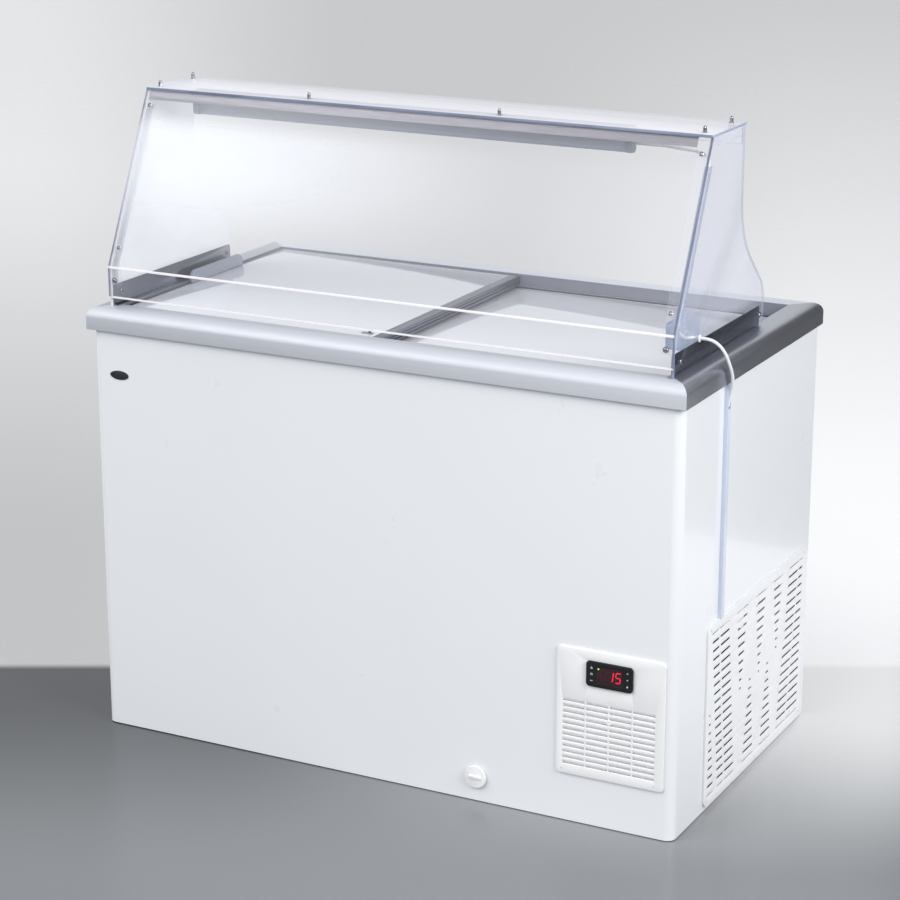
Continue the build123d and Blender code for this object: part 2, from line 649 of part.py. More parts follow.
def guard_bracket():
    """Right-hand steel angle on the rim, inside the side panel."""
    y = bracket_bounds()
    x, z = SIDE_INNER, RIM_Z + BRACKET_HEIGHT
    plate = block((x - BRACKET_SHEET, x), y, (RIM_Z, z))
    corner = plate.edges().filter_by(Axis.X).sort_by(lambda e: e.center().Y + e.center().Z)[-1]
    plate = fillet(corner, 6)
    foot = block((x - BRACKET_FOOT - BRACKET_SHEET, x - BRACKET_SHEET), y, (RIM_Z, RIM_Z + BRACKET_SHEET))
    return plate + foot


def front_rail():
    """Angle of brushed aluminium under the front edge of the shelf."""
    x = (-SIDE_INNER + 2, SIDE_INNER - RAIL_END_GAP)
    near, far = ACRYLIC, ACRYLIC + RAIL_SHEET
    face = guard_band(near, far, GUARD_TOP - RAIL_DROP, GUARD_TOP, x)
    y = front_line(near, GUARD_TOP)
    return face + block(x, (y, y + 26), (GUARD_TOP - RAIL_SHEET, GUARD_TOP))


def guard_front():
    """Bent acrylic front, upright at the foot and leaning back above the bend."""
    return guard_band(0, ACRYLIC, RIM_Z + GUARD_FRONT_GAP, GUARD_TOP, (-GUARD_HALF, GUARD_HALF))


def front_screw_points():
    """Height of each screw through the front panel, measured on the bent face."""
    return [GUARD_TOP - RAIL_DROP - 9, GUARD_BEND_Z + 36, GUARD_BEND_Z - 25]


def guard_screws():
    """Screw heads on the front panel, and pairs of nuts on the side brackets."""
    screws = []
    for z in front_screw_points():
        lean = lean_angle() if z > GUARD_BEND_Z else 0.0
        normal = Vector(0, -cos(lean), sin(lean))
        for side in (-1, 1):
            foot = Vector(side * (SIDE_INNER - STRIP / 2), front_line(0, z), z)
            screws.append(rod(tuple(foot), tuple(foot + normal * 3), NUT_RADIUS + 0.6))
    y0, y1 = bracket_bounds()
    for side in (-1, 1):
        for y in (y0 + 26, y1 - 12):
            z = RIM_Z + BRACKET_HEIGHT * 0.62
            outer = side * GUARD_HALF
            screws.append(rod((outer, y, z), (outer + side * 3, y, z), NUT_RADIUS))
            inner = side * (SIDE_INNER - BRACKET_SHEET)
            screws.append(rod((inner, y, z), (inner - side * 3, y, z), NUT_RADIUS))
    return screws


def guard_cap_nuts():
    """Domed nuts on the shelf."""
    y_front = GUARD_TOP_FRONT + 20
    end = SIDE_INNER - SHELF_NUTS[0]
    places = [(-SIDE_INNER + x, y_front) for x in SHELF_NUTS]
    places += [(SIDE_INNER - SHELF_NUT_END, y_front), (-end, GUARD_TOP_REAR - 22), (end, GUARD_TOP_REAR - 22)]
    nuts = []
    base = GUARD_TOP + ACRYLIC
    for x, y in places:
        body = rod((x, y, base), (x, y, base + NUT_HEIGHT), NUT_RADIUS)
        nuts.append(body + Pos(x, y, base + NUT_HEIGHT) * Sphere(NUT_RADIUS))
    return nuts


# ---------------------------------------------------------------- lamp
def lamp_ends():
    return (-SIDE_INNER + LAMP_LEFT_GAP, SIDE_INNER - LAMP_RIGHT_GAP)


def lamp():
    y = (LAMP_Y - LAMP_WIDTH / 2, LAMP_Y + LAMP_WIDTH / 2)
    left, right = lamp_ends()
    x = (left + LAMP_CAP, right - LAMP_CAP)
    split = GUARD_TOP - LAMP_BASE
    low = GUARD_TOP - LAMP_HEIGHT
    housing = block(x, y, (split, GUARD_TOP))
    r = LAMP_WIDTH / 2 - 1
    tray = block(x, (LAMP_Y - r, LAMP_Y + r), (low + r, split))
    diffuser = tray + rod((x[0], LAMP_Y, low + r), (x[1], LAMP_Y, low + r), r)
    caps = [block((left, x[0]), y, (low, GUARD_TOP)), block((x[1], right), y, (low, GUARD_TOP))]
    caps = [fillet(c.edges().filter_by(Axis.X).group_by(Axis.Z)[0], 8) for c in caps]
    return housing, diffuser, caps


def channel_centre(z):
    """Centre of the lead in its channel beside the corner strip."""
    x = SIDE_INNER - CHANNEL_DEPTH / 2
    return (x, front_line(ACRYLIC + STRIP + 1 + CHANNEL_WIDTH / 2, z), z)


def cable_channel():
    """U-shaped cover for the lead, against the right side panel."""
    near, wall = ACRYLIC + STRIP + 1, 1.2
    far = near + CHANNEL_WIDTH
    low, high = CHANNEL_LOW, CHANNEL_HIGH
    outer = guard_band(near, far, low, high, (SIDE_INNER - CHANNEL_DEPTH, SIDE_INNER))
    inner = guard_band(near + wall, far - wall, low, high, (SIDE_INNER - CHANNEL_DEPTH + wall, SIDE_INNER))
    return outer - inner


def light_lead():
    """Lead from the lamp's end to the hole in the side panel, held all the way."""
    exit_x, exit_y, exit_z = CORD_EXIT
    lamp_end = lamp_ends()[1]
    lamp_z = GUARD_TOP - 30
    beyond = 14.0
    points = [(lamp_end, LAMP_Y, lamp_z), (lamp_end + 60, LAMP_Y, lamp_z),
              (SIDE_INNER - 40, LAMP_Y - 4, lamp_z - 4), channel_centre(CHANNEL_HIGH + beyond),
              channel_centre(CHANNEL_LOW - beyond), (SIDE_INNER - 8, exit_y - 38, exit_z + 8),
              (SIDE_INNER - 15, exit_y - 14, exit_z + 1), (SIDE_INNER - 9, exit_y, exit_z),
              (exit_x - FIT, exit_y, exit_z)]
    radii = [min(radius, 3 * CORD_DIA) for radius in bend_radii(points)]
    return tube_along(points, radii, CORD_DIA / 2)


def lead_cover():
    """Clear cup over the lead where it turns to leave through the side panel."""
    z = (RIM_Z + BRACKET_HEIGHT + 1.5, CHANNEL_LOW - 1)
    y = (front_line(ACRYLIC + STRIP + 1, z[1]), CORD_EXIT[1] + 14)
    cup = block((SIDE_INNER - 26, SIDE_INNER), y, z)
    cup = fillet(cup.edges().filter_by(Axis.X), 6)
    hollow = block((SIDE_INNER - 24, SIDE_INNER + 1), (y[0] + 2, y[1] - 2), (z[0] + 1.5, z[1] + 1))
    return cup - hollow


CORD_ROUTE = [
    (590, -205, 912),
    (602, -204.5, 912.5),
    (614.5, -201, 908.5),
    (625, -195, 898.5),
    (632, -188, 884),
    (635.5, -180, 867),
    (637, -169, 849),
    (635.5, -158, 831),
    (631, -148, 811.5),
    (624, -142.7, 792.5),
    (621.1, -142, 775),
]


def light_cord():
    """Loose stretch of the lead, from the side panel over the rim into the duct."""
    radii = bend_radii(CORD_ROUTE)
    cord = tube_along(CORD_ROUTE, radii, CORD_DIA / 2)
    path = FilletPolyline(*CORD_ROUTE, radius=radii)
    section = pi * CORD_DIA ** 2 / 4
    print("cord bend radii", [round(r) for r in radii])
    ratio = cord.volume / section / path.length
    print("cord length", round(path.length, 1), "volume ratio", round(ratio, 4))
    return cord


def lead_hole():
    """Bore through the right side panel for the grommet."""
    y, z = CORD_EXIT[1:]
    return rod((SIDE_INNER - 1, y, z), (GUARD_HALF + 1, y, z), CORD_DIA / 2 + GROMMET_LIP)


def lead_grommet():
    """Ring that carries the lead through the side panel."""
    x, y, z = CORD_EXIT
    r = CORD_DIA / 2
    ring = rod((SIDE_INNER, y, z), (x, y, z), r + GROMMET_LIP)
    ring += rod((GUARD_HALF, y, z), (x, y, z), r + 2 * GROMMET_LIP)
    return ring - rod((SIDE_INNER - 1, y, z), (x + 1, y, z), r)


def cord_trunking():
    """Slim duct down the right side: open at the top for the cord, closed below."""
    wall, outer = DUCT_WALL, BODY_X + OVERHANG
    y = (DUCT_Y - DUCT_WIDTH / 2, DUCT_Y + DUCT_WIDTH / 2)
    z = (GRILLE_Z[1], RIM_BOTTOM)
    inner_y = (y[0] + wall, y[1] - wall)
    duct = block((BODY_X, outer), y, z)
    duct -= block((BODY_X + wall, outer - wall), inner_y, (z[0] - 1, z[1] + 1))
    return duct - block((BODY_X + wall, outer + 1), inner_y, (RIM_BOTTOM - DUCT_MOUTH, z[1] + 1))


# ---------------------------------------------------------------- control panel and grille
def rounded_plate(plane, size, corner, thick):
    """Plate with rounded corners, centred on a plane."""
    return extrude(plane * RectangleRounded(size[0], size[1], corner), amount=thick)


def front_plane(x, z, y):
    """Plane on the front face, looking out, centred between two values on X and Z."""
    centre = ((x[0] + x[1]) / 2, y, (z[0] + z[1]) / 2)
    return Plane(origin=centre, x_dir=(1, 0, 0), z_dir=(0, -1, 0))


def control_panel():
    """Bezel with rows of louvre slots and a window for the thermostat."""
    size = (PANEL_X[1] - PANEL_X[0], PANEL_Z[1] - PANEL_Z[0])
    panel = rounded_plate(front_plane(PANEL_X, PANEL_Z, -BODY_Y), size, PANEL_CORNER, PANEL_THICK)
    y = (-BODY_Y - PANEL_THICK - 1, -BODY_Y + 1)
    panel -= block(shrink(METER_X, METER_RIM[0]), y, shrink(METER_Z, METER_RIM[1]))
    pitch = (LOUVRE_Z[1] - LOUVRE_Z[0]) / LOUVRE_ROWS
    width = (LOUVRE_X[1] - LOUVRE_X[0] - LOUVRE_BAR * (LOUVRE_COLUMNS - 1)) / LOUVRE_COLUMNS
    slots = []
    for row in range(LOUVRE_ROWS):
        z = LOUVRE_Z[0] + (row + 0.5) * pitch
        for column in range(LOUVRE_COLUMNS):
            x = LOUVRE_X[0] + column * (width + LOUVRE_BAR)
            slots.append(block((x, x + width), y, (z - LOUVRE_SLOT / 2, z + LOUVRE_SLOT / 2)))
    return panel - slots


def meter_case():
    """Thermostat: face plate outside the panel, body behind it, pockets for the keys."""
    size = (METER_X[1] - METER_X[0], METER_Z[1] - METER_Z[0])
    front = -BODY_Y - PANEL_THICK
    face = rounded_plate(front_plane(METER_X, METER_Z, front), size, 7, METER_FACE)
    body = block(shrink(METER_X, METER_RIM[0] + FIT), (front, front + METER_DEPTH),
                 shrink(METER_Z, METER_RIM[1] + FIT))
    case = face + body
    window = window_bounds()
    case -= block(window[0], (front - METER_FACE - 1, front - METER_FACE + 1.6), window[1])
    for x, z in key_places().values():
        case -= rod((x, front - METER_FACE - 1, z), (x, front - METER_FACE + 2.2, z), KEY_SIZE / 2 + FIT)
    return case


def window_bounds():
    return shrink(METER_X, 20), shrink(METER_Z, 9)


def key_places():
    """Centre of each key on the right of the thermostat."""
    x = METER_X[1] - 10
    middle = (METER_Z[0] + METER_Z[1]) / 2
    return {"key_up": (x, middle + 13), "key_down": (x, middle), "key_power": (x, middle - 13)}


def display_window():
    """Clear pane over the digits."""
    front = -BODY_Y - PANEL_THICK - METER_FACE
    x, z = window_bounds()
    return block(shrink(x, 0.1), (front + 0.2, front + 1.6), shrink(z, 0.1))


def key(place):
    x, z = place
    front = -BODY_Y - PANEL_THICK - METER_FACE
    return rod((x, front - 0.4, z), (x, front + 1.6, z), KEY_SIZE / 2)


def side_grille():
    """Right-hand vent cover with a fan of slots in leaning columns."""
    centre = (BODY_X, sum(GRILLE_Y) / 2, sum(GRILLE_Z) / 2)
    plane = Plane(origin=centre, x_dir=(0, 1, 0), z_dir=(1, 0, 0))
    size = (GRILLE_Y[1] - GRILLE_Y[0], GRILLE_Z[1] - GRILLE_Z[0])
    plate = rounded_plate(plane, size, GRILLE_CORNER, GRILLE_THICK)
    width = size[0] - 2 * GRILLE_MARGIN
    height = size[1] - 2 * GRILLE_MARGIN
    pitch = height / (GRILLE_ROWS - 1 + 0.6)
    x = (BODY_X - 1, BODY_X + GRILLE_THICK + 1)
    slots = []
    for row in range(GRILLE_ROWS):
        down = row / (GRILLE_ROWS - 1)
        half = GRILLE_SLOT / (4 if row in (0, GRILLE_ROWS - 1) else 2)
        z = GRILLE_Z[1] - GRILLE_MARGIN - (row + 0.3) * pitch
        for left, right, lean_left, lean_right in GRILLE_COLUMNS:
            left += lean_left * GRILLE_SLANT * down
            right += lean_right * GRILLE_SLANT * down
            if (right - left) * width > GRILLE_SLOT:
                y = GRILLE_Y[0] + GRILLE_MARGIN
                slots.append(block(x, (y + left * width, y + right * width), (z - half, z + half)))
    return plate - slots


def panel_screws():
    """Small screw heads on the control panel and the side grille."""
    face = -BODY_Y - PANEL_THICK
    screws = [rod((x, face, PANEL_Z[0] + 9), (x, face - 1.6, PANEL_Z[0] + 9), 3.2)
              for x in (PANEL_X[0] + 12, PANEL_X[1] - 17)]
    side = BODY_X + GRILLE_THICK
    screws += [rod((side, y, z), (side + 1.6, y, z), 3.2)
               for y in (GRILLE_Y[0] + 10, GRILLE_Y[1] - 10) for z in (GRILLE_Z[0] + 11, GRILLE_Z[1] - 11)]
    return screws


def front_badge():
    """Small plain oval plate near the top left corner."""
    face = Plane(origin=(-BODY_X + 60, -BODY_Y, RIM_BOTTOM - 86), x_dir=(1, 0, 0), z_dir=(0, -1, 0))
    return extrude(face * Ellipse(21, 9), amount=1.2)


# ---------------------------------------------------------------- drain
def drain_tube():
    outside = tube_along(drain_path(), 22, DRAIN_BORE + DRAIN_WALL)
    return outside - tube_along(drain_path(), 22, DRAIN_BORE)


def drain_collar():
    ring = rod((DRAIN_X, -BODY_Y, DRAIN_Z), (DRAIN_X, -BODY_Y - 2.4, DRAIN_Z), DRAIN_KNOB - 2)
    return ring - rod((DRAIN_X, -BODY_Y + 1, DRAIN_Z), (DRAIN_X, -BODY_Y - 4, DRAIN_Z), DRAIN_BORE + FIT)


def drain_cap():
    """Round cap with a finger ridge and a plug that enters the tube."""
    seat = -BODY_Y - 2.4 - FIT
    disc = rod((DRAIN_X, seat, DRAIN_Z), (DRAIN_X, seat - 3.2, DRAIN_Z), DRAIN_KNOB)
    ridge = block((DRAIN_X - DRAIN_KNOB * 0.6, DRAIN_X + DRAIN_KNOB * 0.6), (seat - 5, seat - 3),
                  (DRAIN_Z - 3, DRAIN_Z + 3))
    plug = rod((DRAIN_X, seat - 1, DRAIN_Z), (DRAIN_X, seat + 16, DRAIN_Z), DRAIN_BORE - FIT)
    return disc + ridge + plug


# ---------------------------------------------------------------- machinery
def compressor_feet():
    """Middle of each rubber foot under the compressor's plate."""
    half_x, half_y = COMPRESSOR_RADIUS - 6, COMPRESSOR_RADIUS * 0.8 - 10
    return [(COMPRESSOR_X + i * half_x, COMPRESSOR_Y + j * half_y) for i in (-1, 1) for j in (-1, 1)]


def compressor():
    """Welded pot with its seam, on a foot plate."""
    x, y, r = COMPRESSOR_X, COMPRESSOR_Y, COMPRESSOR_RADIUS
    low = PAN_TOP + MOUNT_HEIGHT
    plate = block((x - r - 6, x + r + 6), (y - r * 0.8, y + r * 0.8), (low, low + 3))
    pot = rod((x, y, low + 3), (x, y, low + COMPRESSOR_HEIGHT), r)
    pot = fillet(pot.edges().group_by(Axis.Z)[-1], 30)
    seam_z = low + COMPRESSOR_HEIGHT / 2
    seam = rod((x, y, seam_z), (x, y, seam_z + 6), r + 3)
    return plate + pot + seam


def compressor_mounts():
    return [rod((x, y, PAN_TOP), (x, y, PAN_TOP + MOUNT_HEIGHT), 9) for x, y in compressor_feet()]


def condenser_rows():
    """Height of each row of the condenser's tube."""
    pitch = 2 * CONDENSER_HALF_HEIGHT / CONDENSER_ROWS
    return [FAN_Z - CONDENSER_HALF_HEIGHT + (i + 0.5) * pitch for i in range(CONDENSER_ROWS)]


def condenser():
    """Fins on one folded tube, behind the side grille."""
    x, middle = CONDENSER_X, sum(CONDENSER_X) / 2
    y = (FAN_Y - CONDENSER_HALF, FAN_Y + CONDENSER_HALF)
    z = (FAN_Z - CONDENSER_HALF_HEIGHT, FAN_Z + CONDENSER_HALF_HEIGHT)
    rows = condenser_rows()
    count = int((y[1] - y[0]) / FIN_PITCH) + 1
    fins = [block(x, (y[0] + FIN_PITCH * i, y[0] + FIN_PITCH * i + SHEET), z) for i in range(count)]
    holes = [rod((middle, y[0] - 1, row), (middle, y[1] + 2, row), COIL_TUBE + 0.2) for row in rows]
    fins = [fin - holes for fin in fins]
    points = []
    for i, row in enumerate(rows):
        ends = (y[0] - 16, y[1] + 16)
        for end in (ends if i % 2 == 0 else ends[::-1]):
            points.append((middle, end, row))
    return fins + [tube_along(points, 0.4 * (rows[1] - rows[0]), COIL_TUBE)]


def fan_shroud():
    """Plate with a round mouth between the condenser and the fan, standing on the base."""
    y = (FAN_Y - CONDENSER_HALF - 2, FAN_Y + CONDENSER_HALF + 2)
    plate = block(SHROUD_X, y, (PAN_TOP, FAN_Z + CONDENSER_HALF_HEIGHT + 3))
    plate -= rod((SHROUD_X[0] - 6, FAN_Y, FAN_Z), (SHROUD_X[1] + 2, FAN_Y, FAN_Z), FAN_RADIUS + FAN_GAP)
    return plate + block((SHROUD_X[1], CONDENSER_X[1] + 2), y, (PAN_TOP, PAN_TOP + 2))


def fan_rotor():
    """Hub with twisted blades, turning about X."""
    hub = rod((FAN_X - 10, FAN_Y, FAN_Z), (FAN_X + 10, FAN_Y, FAN_Z), HUB_RADIUS)
    hub -= rod((FAN_X - 20, FAN_Y, FAN_Z), (FAN_X + 3, FAN_Y, FAN_Z), SHAFT_RADIUS + SHAFT_FIT)
    reach = FAN_RADIUS - HUB_RADIUS
    blade = Pos(0, 0, HUB_RADIUS - 4 + reach / 2) * Rot(0, 0, 32) * Box(3, 44, reach + 8)
    for i in range(FAN_BLADES):
        hub += Pos(FAN_X, FAN_Y, FAN_Z) * Rot(360 / FAN_BLADES * i, 0, 0) * blade
    swept = (FAN_X - FAN_HALF_DEPTH, FAN_Y, FAN_Z), (FAN_X + FAN_HALF_DEPTH, FAN_Y, FAN_Z)
    return hub & rod(*swept, FAN_RADIUS)


def fan_motor():
    """Motor with its shaft, on a post that stands on the base pan."""
    rear, face = FAN_X - 56, FAN_X - 20
    body = rod((rear, FAN_Y, FAN_Z), (face, FAN_Y, FAN_Z), MOTOR_RADIUS)
    shaft = rod((face - 2, FAN_Y, FAN_Z), (FAN_X + 2, FAN_Y, FAN_Z), SHAFT_RADIUS)
    post = block((rear + 14, rear + 22), (FAN_Y - 14, FAN_Y + 14), (PAN_TOP, FAN_Z - MOTOR_RADIUS + 10))
    foot = block((rear - 2, face + 2), (FAN_Y - 30, FAN_Y + 30), (PAN_TOP, PAN_TOP + 3))
    return body + shaft + post + foot


def refrigerant_pipes():
    """Discharge, suction and liquid lines, with the filter drier in the liquid line."""
    x, y, r = COMPRESSOR_X, COMPRESSOR_Y, COMPRESSOR_RADIUS
    top = PAN_TOP + MOUNT_HEIGHT + 80
    height = condenser_rows()[0] + 60
    tube_x = sum(CONDENSER_X) / 2
    discharge = [(x + r, y - 20, top), (x + r + 22, y - 20, top), (x + r + 22, y - 20, height),
                 (tube_x, y - 60, height), (tube_x, FAN_Y + CONDENSER_HALF + 40, height)]
    suction = [(x - 20, y + r, top), (x - 20, y + r + 24, top), (x - 20, y + r + 24, BAY_TOP)]
    line_x, line_y = BAY_X + 30, -BODY_Y + 101
    drier = rod((line_x, line_y, 120), (line_x, line_y, 230), 11)
    line = rod((line_x, line_y, 230), (line_x, line_y, BAY_TOP), 3)
    return [tube_along(discharge, 9, 3.5), tube_along(suction, 10, 4.5), drier + line]


def power_gland():
    """Strain relief for the supply lead in the rear panel."""
    x, y, z = BAY_X + GLAND_GAP, BODY_Y, GLAND_Z
    gland = rod((x, y - 12, z), (x, y, z), GLAND_RADIUS - FIT)
    gland += rod((x, y, z), (x, y + 5, z), GLAND_RADIUS + 4)
    return gland - rod((x, y - 20, z), (x, y + 8, z), 4.5)


# ---------------------------------------------------------------- build
os.makedirs("parts", exist_ok=True)

write("outer_shell", outer_shell())
write("rear_panel", rear_panel())
write("base_pan", base_pan())
write("levelling_feet", *levelling_feet())
write("foam_insulation", foam_insulation())
write("inner_liner", *inner_liner())
write("evaporator_coil", evaporator_coil())
write("storage_rack", *storage_rack())

for rim_name, rim in zip(("rim_front", "rim_rear", "rim_left", "rim_right"), rims()):
    write(rim_name, rim)
write("lid_tracks", *lid_tracks())
write("end_trims", *end_trims())

upper_names = ("upper_lid_frame", "upper_lid_glass", "upper_lid_handle", "lid_catch")
for lid_name, piece in zip(upper_names, upper_lid()):
    write(lid_name, piece)
lower_names = ("lower_lid_frame", "lower_lid_glass", "lower_lid_grip")
for lid_name, piece in zip(lower_names, lower_lid()):
    write(lid_name, piece)

write("guard_side_right", guard_side() - lead_hole())
write("guard_side_left", mirror_x(guard_side()))
write("guard_front", guard_front())
write("guard_top", guard_top())
write("corner_strips", corner_strip(), mirror_x(corner_strip()))
write("top_strips", *top_strips())
write("guard_brackets", mirror_x(guard_bracket()), guard_bracket())
write("front_rail", front_rail())
write("guard_screws", *guard_screws())
write("guard_cap_nuts", *guard_cap_nuts())

lamp_housing, lamp_diffuser, lamp_caps = lamp()
write("light_housing", lamp_housing)
write("light_diffuser", lamp_diffuser)
write("light_end_caps", *lamp_caps)
write("cable_channel", cable_channel())
write("lead_cover", lead_cover())
write("lead_grommet", lead_grommet())
write("light_lead", light_lead())
write("light_cord", light_cord())
write("cord_trunking", cord_trunking())

write("control_panel", control_panel())
write("controller_case", meter_case())
write("display_window", display_window())
for key_name, key_place in key_places().items():
    write(key_name, key(key_place))
write("side_grille", side_grille())
write("panel_screws", *panel_screws())
write("front_badge", front_badge())

write("drain_tube", drain_tube())
write("drain_collar", drain_collar())
write("drain_cap", drain_cap())

write("compressor", compressor())
write("compressor_mounts", *compressor_mounts())
write("condenser", *condenser())
write("fan_shroud", fan_shroud())
write("fan_rotor", fan_rotor())
write("fan_motor", fan_motor())
write("refrigerant_pipes", *refrigerant_pipes())
write("power_gland", power_gland())
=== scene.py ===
"""Ice cream dipping cabinet: finishes, guard, lids, controls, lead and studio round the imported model."""

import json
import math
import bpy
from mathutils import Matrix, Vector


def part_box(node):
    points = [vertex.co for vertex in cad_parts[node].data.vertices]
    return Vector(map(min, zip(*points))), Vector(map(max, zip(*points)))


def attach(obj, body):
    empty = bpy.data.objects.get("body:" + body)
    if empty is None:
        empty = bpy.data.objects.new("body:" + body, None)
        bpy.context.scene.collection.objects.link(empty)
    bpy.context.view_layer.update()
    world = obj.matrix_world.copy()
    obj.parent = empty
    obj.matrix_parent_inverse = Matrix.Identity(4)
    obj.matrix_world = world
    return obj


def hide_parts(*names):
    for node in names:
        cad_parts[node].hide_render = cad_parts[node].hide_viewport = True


bl_info = {
    "name": "Dipping Cabinet",
    "version": (1, 0, 0),
    "blender": (4, 5, 0),
    "location": "View3D > Sidebar > Cabinet",
    "description": "Finishes an ice cream dipping cabinet: paint, rim, clear guard, glass lids and controls",
    "category": "Object",
}

import bmesh
import bpy
from bpy.props import FloatProperty, FloatVectorProperty, PointerProperty
from mathutils import Matrix, Vector

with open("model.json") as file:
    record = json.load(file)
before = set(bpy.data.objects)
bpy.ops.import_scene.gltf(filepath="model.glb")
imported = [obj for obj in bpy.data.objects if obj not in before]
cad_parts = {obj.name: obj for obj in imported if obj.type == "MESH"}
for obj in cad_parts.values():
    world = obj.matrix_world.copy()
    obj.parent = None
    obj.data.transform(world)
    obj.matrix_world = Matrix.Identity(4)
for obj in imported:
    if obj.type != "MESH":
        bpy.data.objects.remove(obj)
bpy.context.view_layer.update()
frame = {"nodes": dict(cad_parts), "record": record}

MM = 0.001
MERGE = 0.01 * MM  # vertices nearer than this are one
FLAT = math.radians(0.5)  # neighbouring faces that turn less than this are one flat face
SHARP = math.radians(28)  # edges that turn more than this are sharp
MIX_FIRST, MIX_SECOND, MIX_RESULT = 6, 7, 2  # colour sockets of a Mix node
BODY_OF = {node: body for body, nodes in frame["record"]["behaviour"]["bodies"].items() for node in nodes}


# ------------------------------------------------------------------ materials: the wrapper
class Wire:
    """A value inside a material. Sums on it add Math nodes."""

    def __init__(self, finish, socket):
        self.finish = finish
        self.socket = socket

    def maths(self, operation, first, second):
        return self.finish.node("ShaderNodeMath", {"operation": operation}, {0: first, 1: second})

    def __add__(self, other):
        return self.maths("ADD", self, other)

    def __sub__(self, other):
        return self.maths("SUBTRACT", self, other)

    def __mul__(self, other):
        return self.maths("MULTIPLY", self, other)

    def __truediv__(self, other):
        return self.maths("DIVIDE", self, other)


class Finish:
    """A material on one Principled shader, with the nodes that vary it."""

    def __init__(self, name, colour, roughness, **shader_values):
        self.material = bpy.data.materials.new(name)
        self.material.use_nodes = True
        self.tree = self.material.node_tree
        self.shader = next(n for n in self.tree.nodes if n.type == "BSDF_PRINCIPLED")
        self.colour = colour
        self.roughness = roughness
        self.shader.inputs["Base Color"].default_value = (*colour, 1)
        self.shader.inputs["Roughness"].default_value = roughness
        for socket, value in shader_values.items():
            self.shader.inputs[socket.replace("_", " ")].default_value = value

    def node(self, kind, settings=None, values=None, output=0):
        """Adds one node: its settings first, then its sockets' values or links."""
        made = self.tree.nodes.new(kind)
        for key, value in (settings or {}).items():
            setattr(made, key, value)
        for key, value in (values or {}).items():
            if isinstance(value, Wire):
                self.tree.links.new(value.socket, made.inputs[key])
            else:
                made.inputs[key].default_value = value
        return Wire(self, made.outputs[output])

    def feed(self, socket, wire):
        self.tree.links.new(wire.socket, self.shader.inputs[socket])

    def place(self, stretch=(1, 1, 1)):
        """Position in the object, stretched along its axes."""
        where = self.node("ShaderNodeTexCoord", output="Object")
        return self.node("ShaderNodeMapping", None, {"Vector": where, "Scale": stretch})

    def axis(self, name):
        where = self.node("ShaderNodeTexCoord", output="Object")
        return self.node("ShaderNodeSeparateXYZ", None, {0: where}, output=name)

    def noise(self, scale, detail=3.0, stretch=(1, 1, 1)):
        values = {"Vector": self.place(stretch), "Scale": scale, "Detail": detail}
        return self.node("ShaderNodeTexNoise", {"noise_dimensions": "3D"}, values)

    def ramp(self, wire, low, high, to_low=0.0, to_high=1.0):
        values = {"Value": wire, "From Min": low, "From Max": high, "To Min": to_low, "To Max": to_high}
        return self.node("ShaderNodeMapRange", {"interpolation_type": "SMOOTHSTEP"}, values)

    def blend(self, factor, first, second):
        """Colour that goes from the first to the second one as the factor goes from 0 to 1."""
        values = {"Factor": factor, MIX_FIRST: first, MIX_SECOND: second}
        return self.node("ShaderNodeMix", {"data_type": "RGBA"}, values, output=MIX_RESULT)

    def tint(self, factor, other):
        """Base colour that turns into another one where the factor is 1."""
        return self.blend(factor, (*self.colour, 1), (*other, 1))

    def bump(self, height, depth):
        """Relief of that depth, in metres."""
        values = {"Height": height, "Distance": depth, "Strength": 1.0}
        self.feed("Normal", self.node("ShaderNodeBump", None, values))

    def vary_roughness(self, wire, spread):
        self.feed("Roughness", (wire - 0.5) * spread + self.roughness)


def darkened(colour, share):
    return tuple(channel * share for channel in colour)


# ------------------------------------------------------------------ materials: the finishes
def moulded(name, colour, roughness, grain=900.0, depth=0.02 * MM, mottling=0.06, **shader_values):
    """Plastic or rubber: fine mould grain and a slight change of tone."""
    finish = Finish(name, colour, roughness, **shader_values)
    finish.bump(finish.noise(grain, 2.0), depth)
    broad = finish.noise(9.0, 4.0)
    finish.feed("Base Color", finish.tint(finish.ramp(broad, 0.35, 0.75), darkened(colour, 1 - mottling)))
    finish.vary_roughness(broad, 0.16)
    return finish.material


def drawn(name, colour, roughness, stretch, streak=0.12, depth=0.012 * MM, **shader_values):
    """Metal with fine lines along one direction, from drawing or brushing."""
    finish = Finish(name, colour, roughness, **{"Metallic": 1.0, **shader_values})
    lines = finish.noise(60.0, 5.0, stretch)
    finish.bump(lines, depth)
    finish.feed("Base Color", finish.tint(finish.ramp(lines, 0.3, 0.7), darkened(colour, 1 - streak)))
    finish.vary_roughness(lines, 0.22)
    return finish.material


def painted(name, colour):
    """Baked enamel on sheet steel: glossy, with the faint orange peel of a sprayed coat."""
    finish = Finish(name, colour, 0.3, Coat_Weight=0.35, Coat_Roughness=0.08)
    fine_peel, broad_peel = finish.noise(420.0, 2.0), finish.noise(60.0, 2.0)
    finish.bump(fine_peel * 0.7 + broad_peel * 0.3, 0.03 * MM)
    cloud = finish.noise(2.2, 3.0)
    finish.feed("Base Color", finish.tint(finish.ramp(cloud, 0.35, 0.7), darkened(colour, 0.985)))
    finish.vary_roughness(finish.noise(14.0, 4.0), 0.12)
    return finish.material


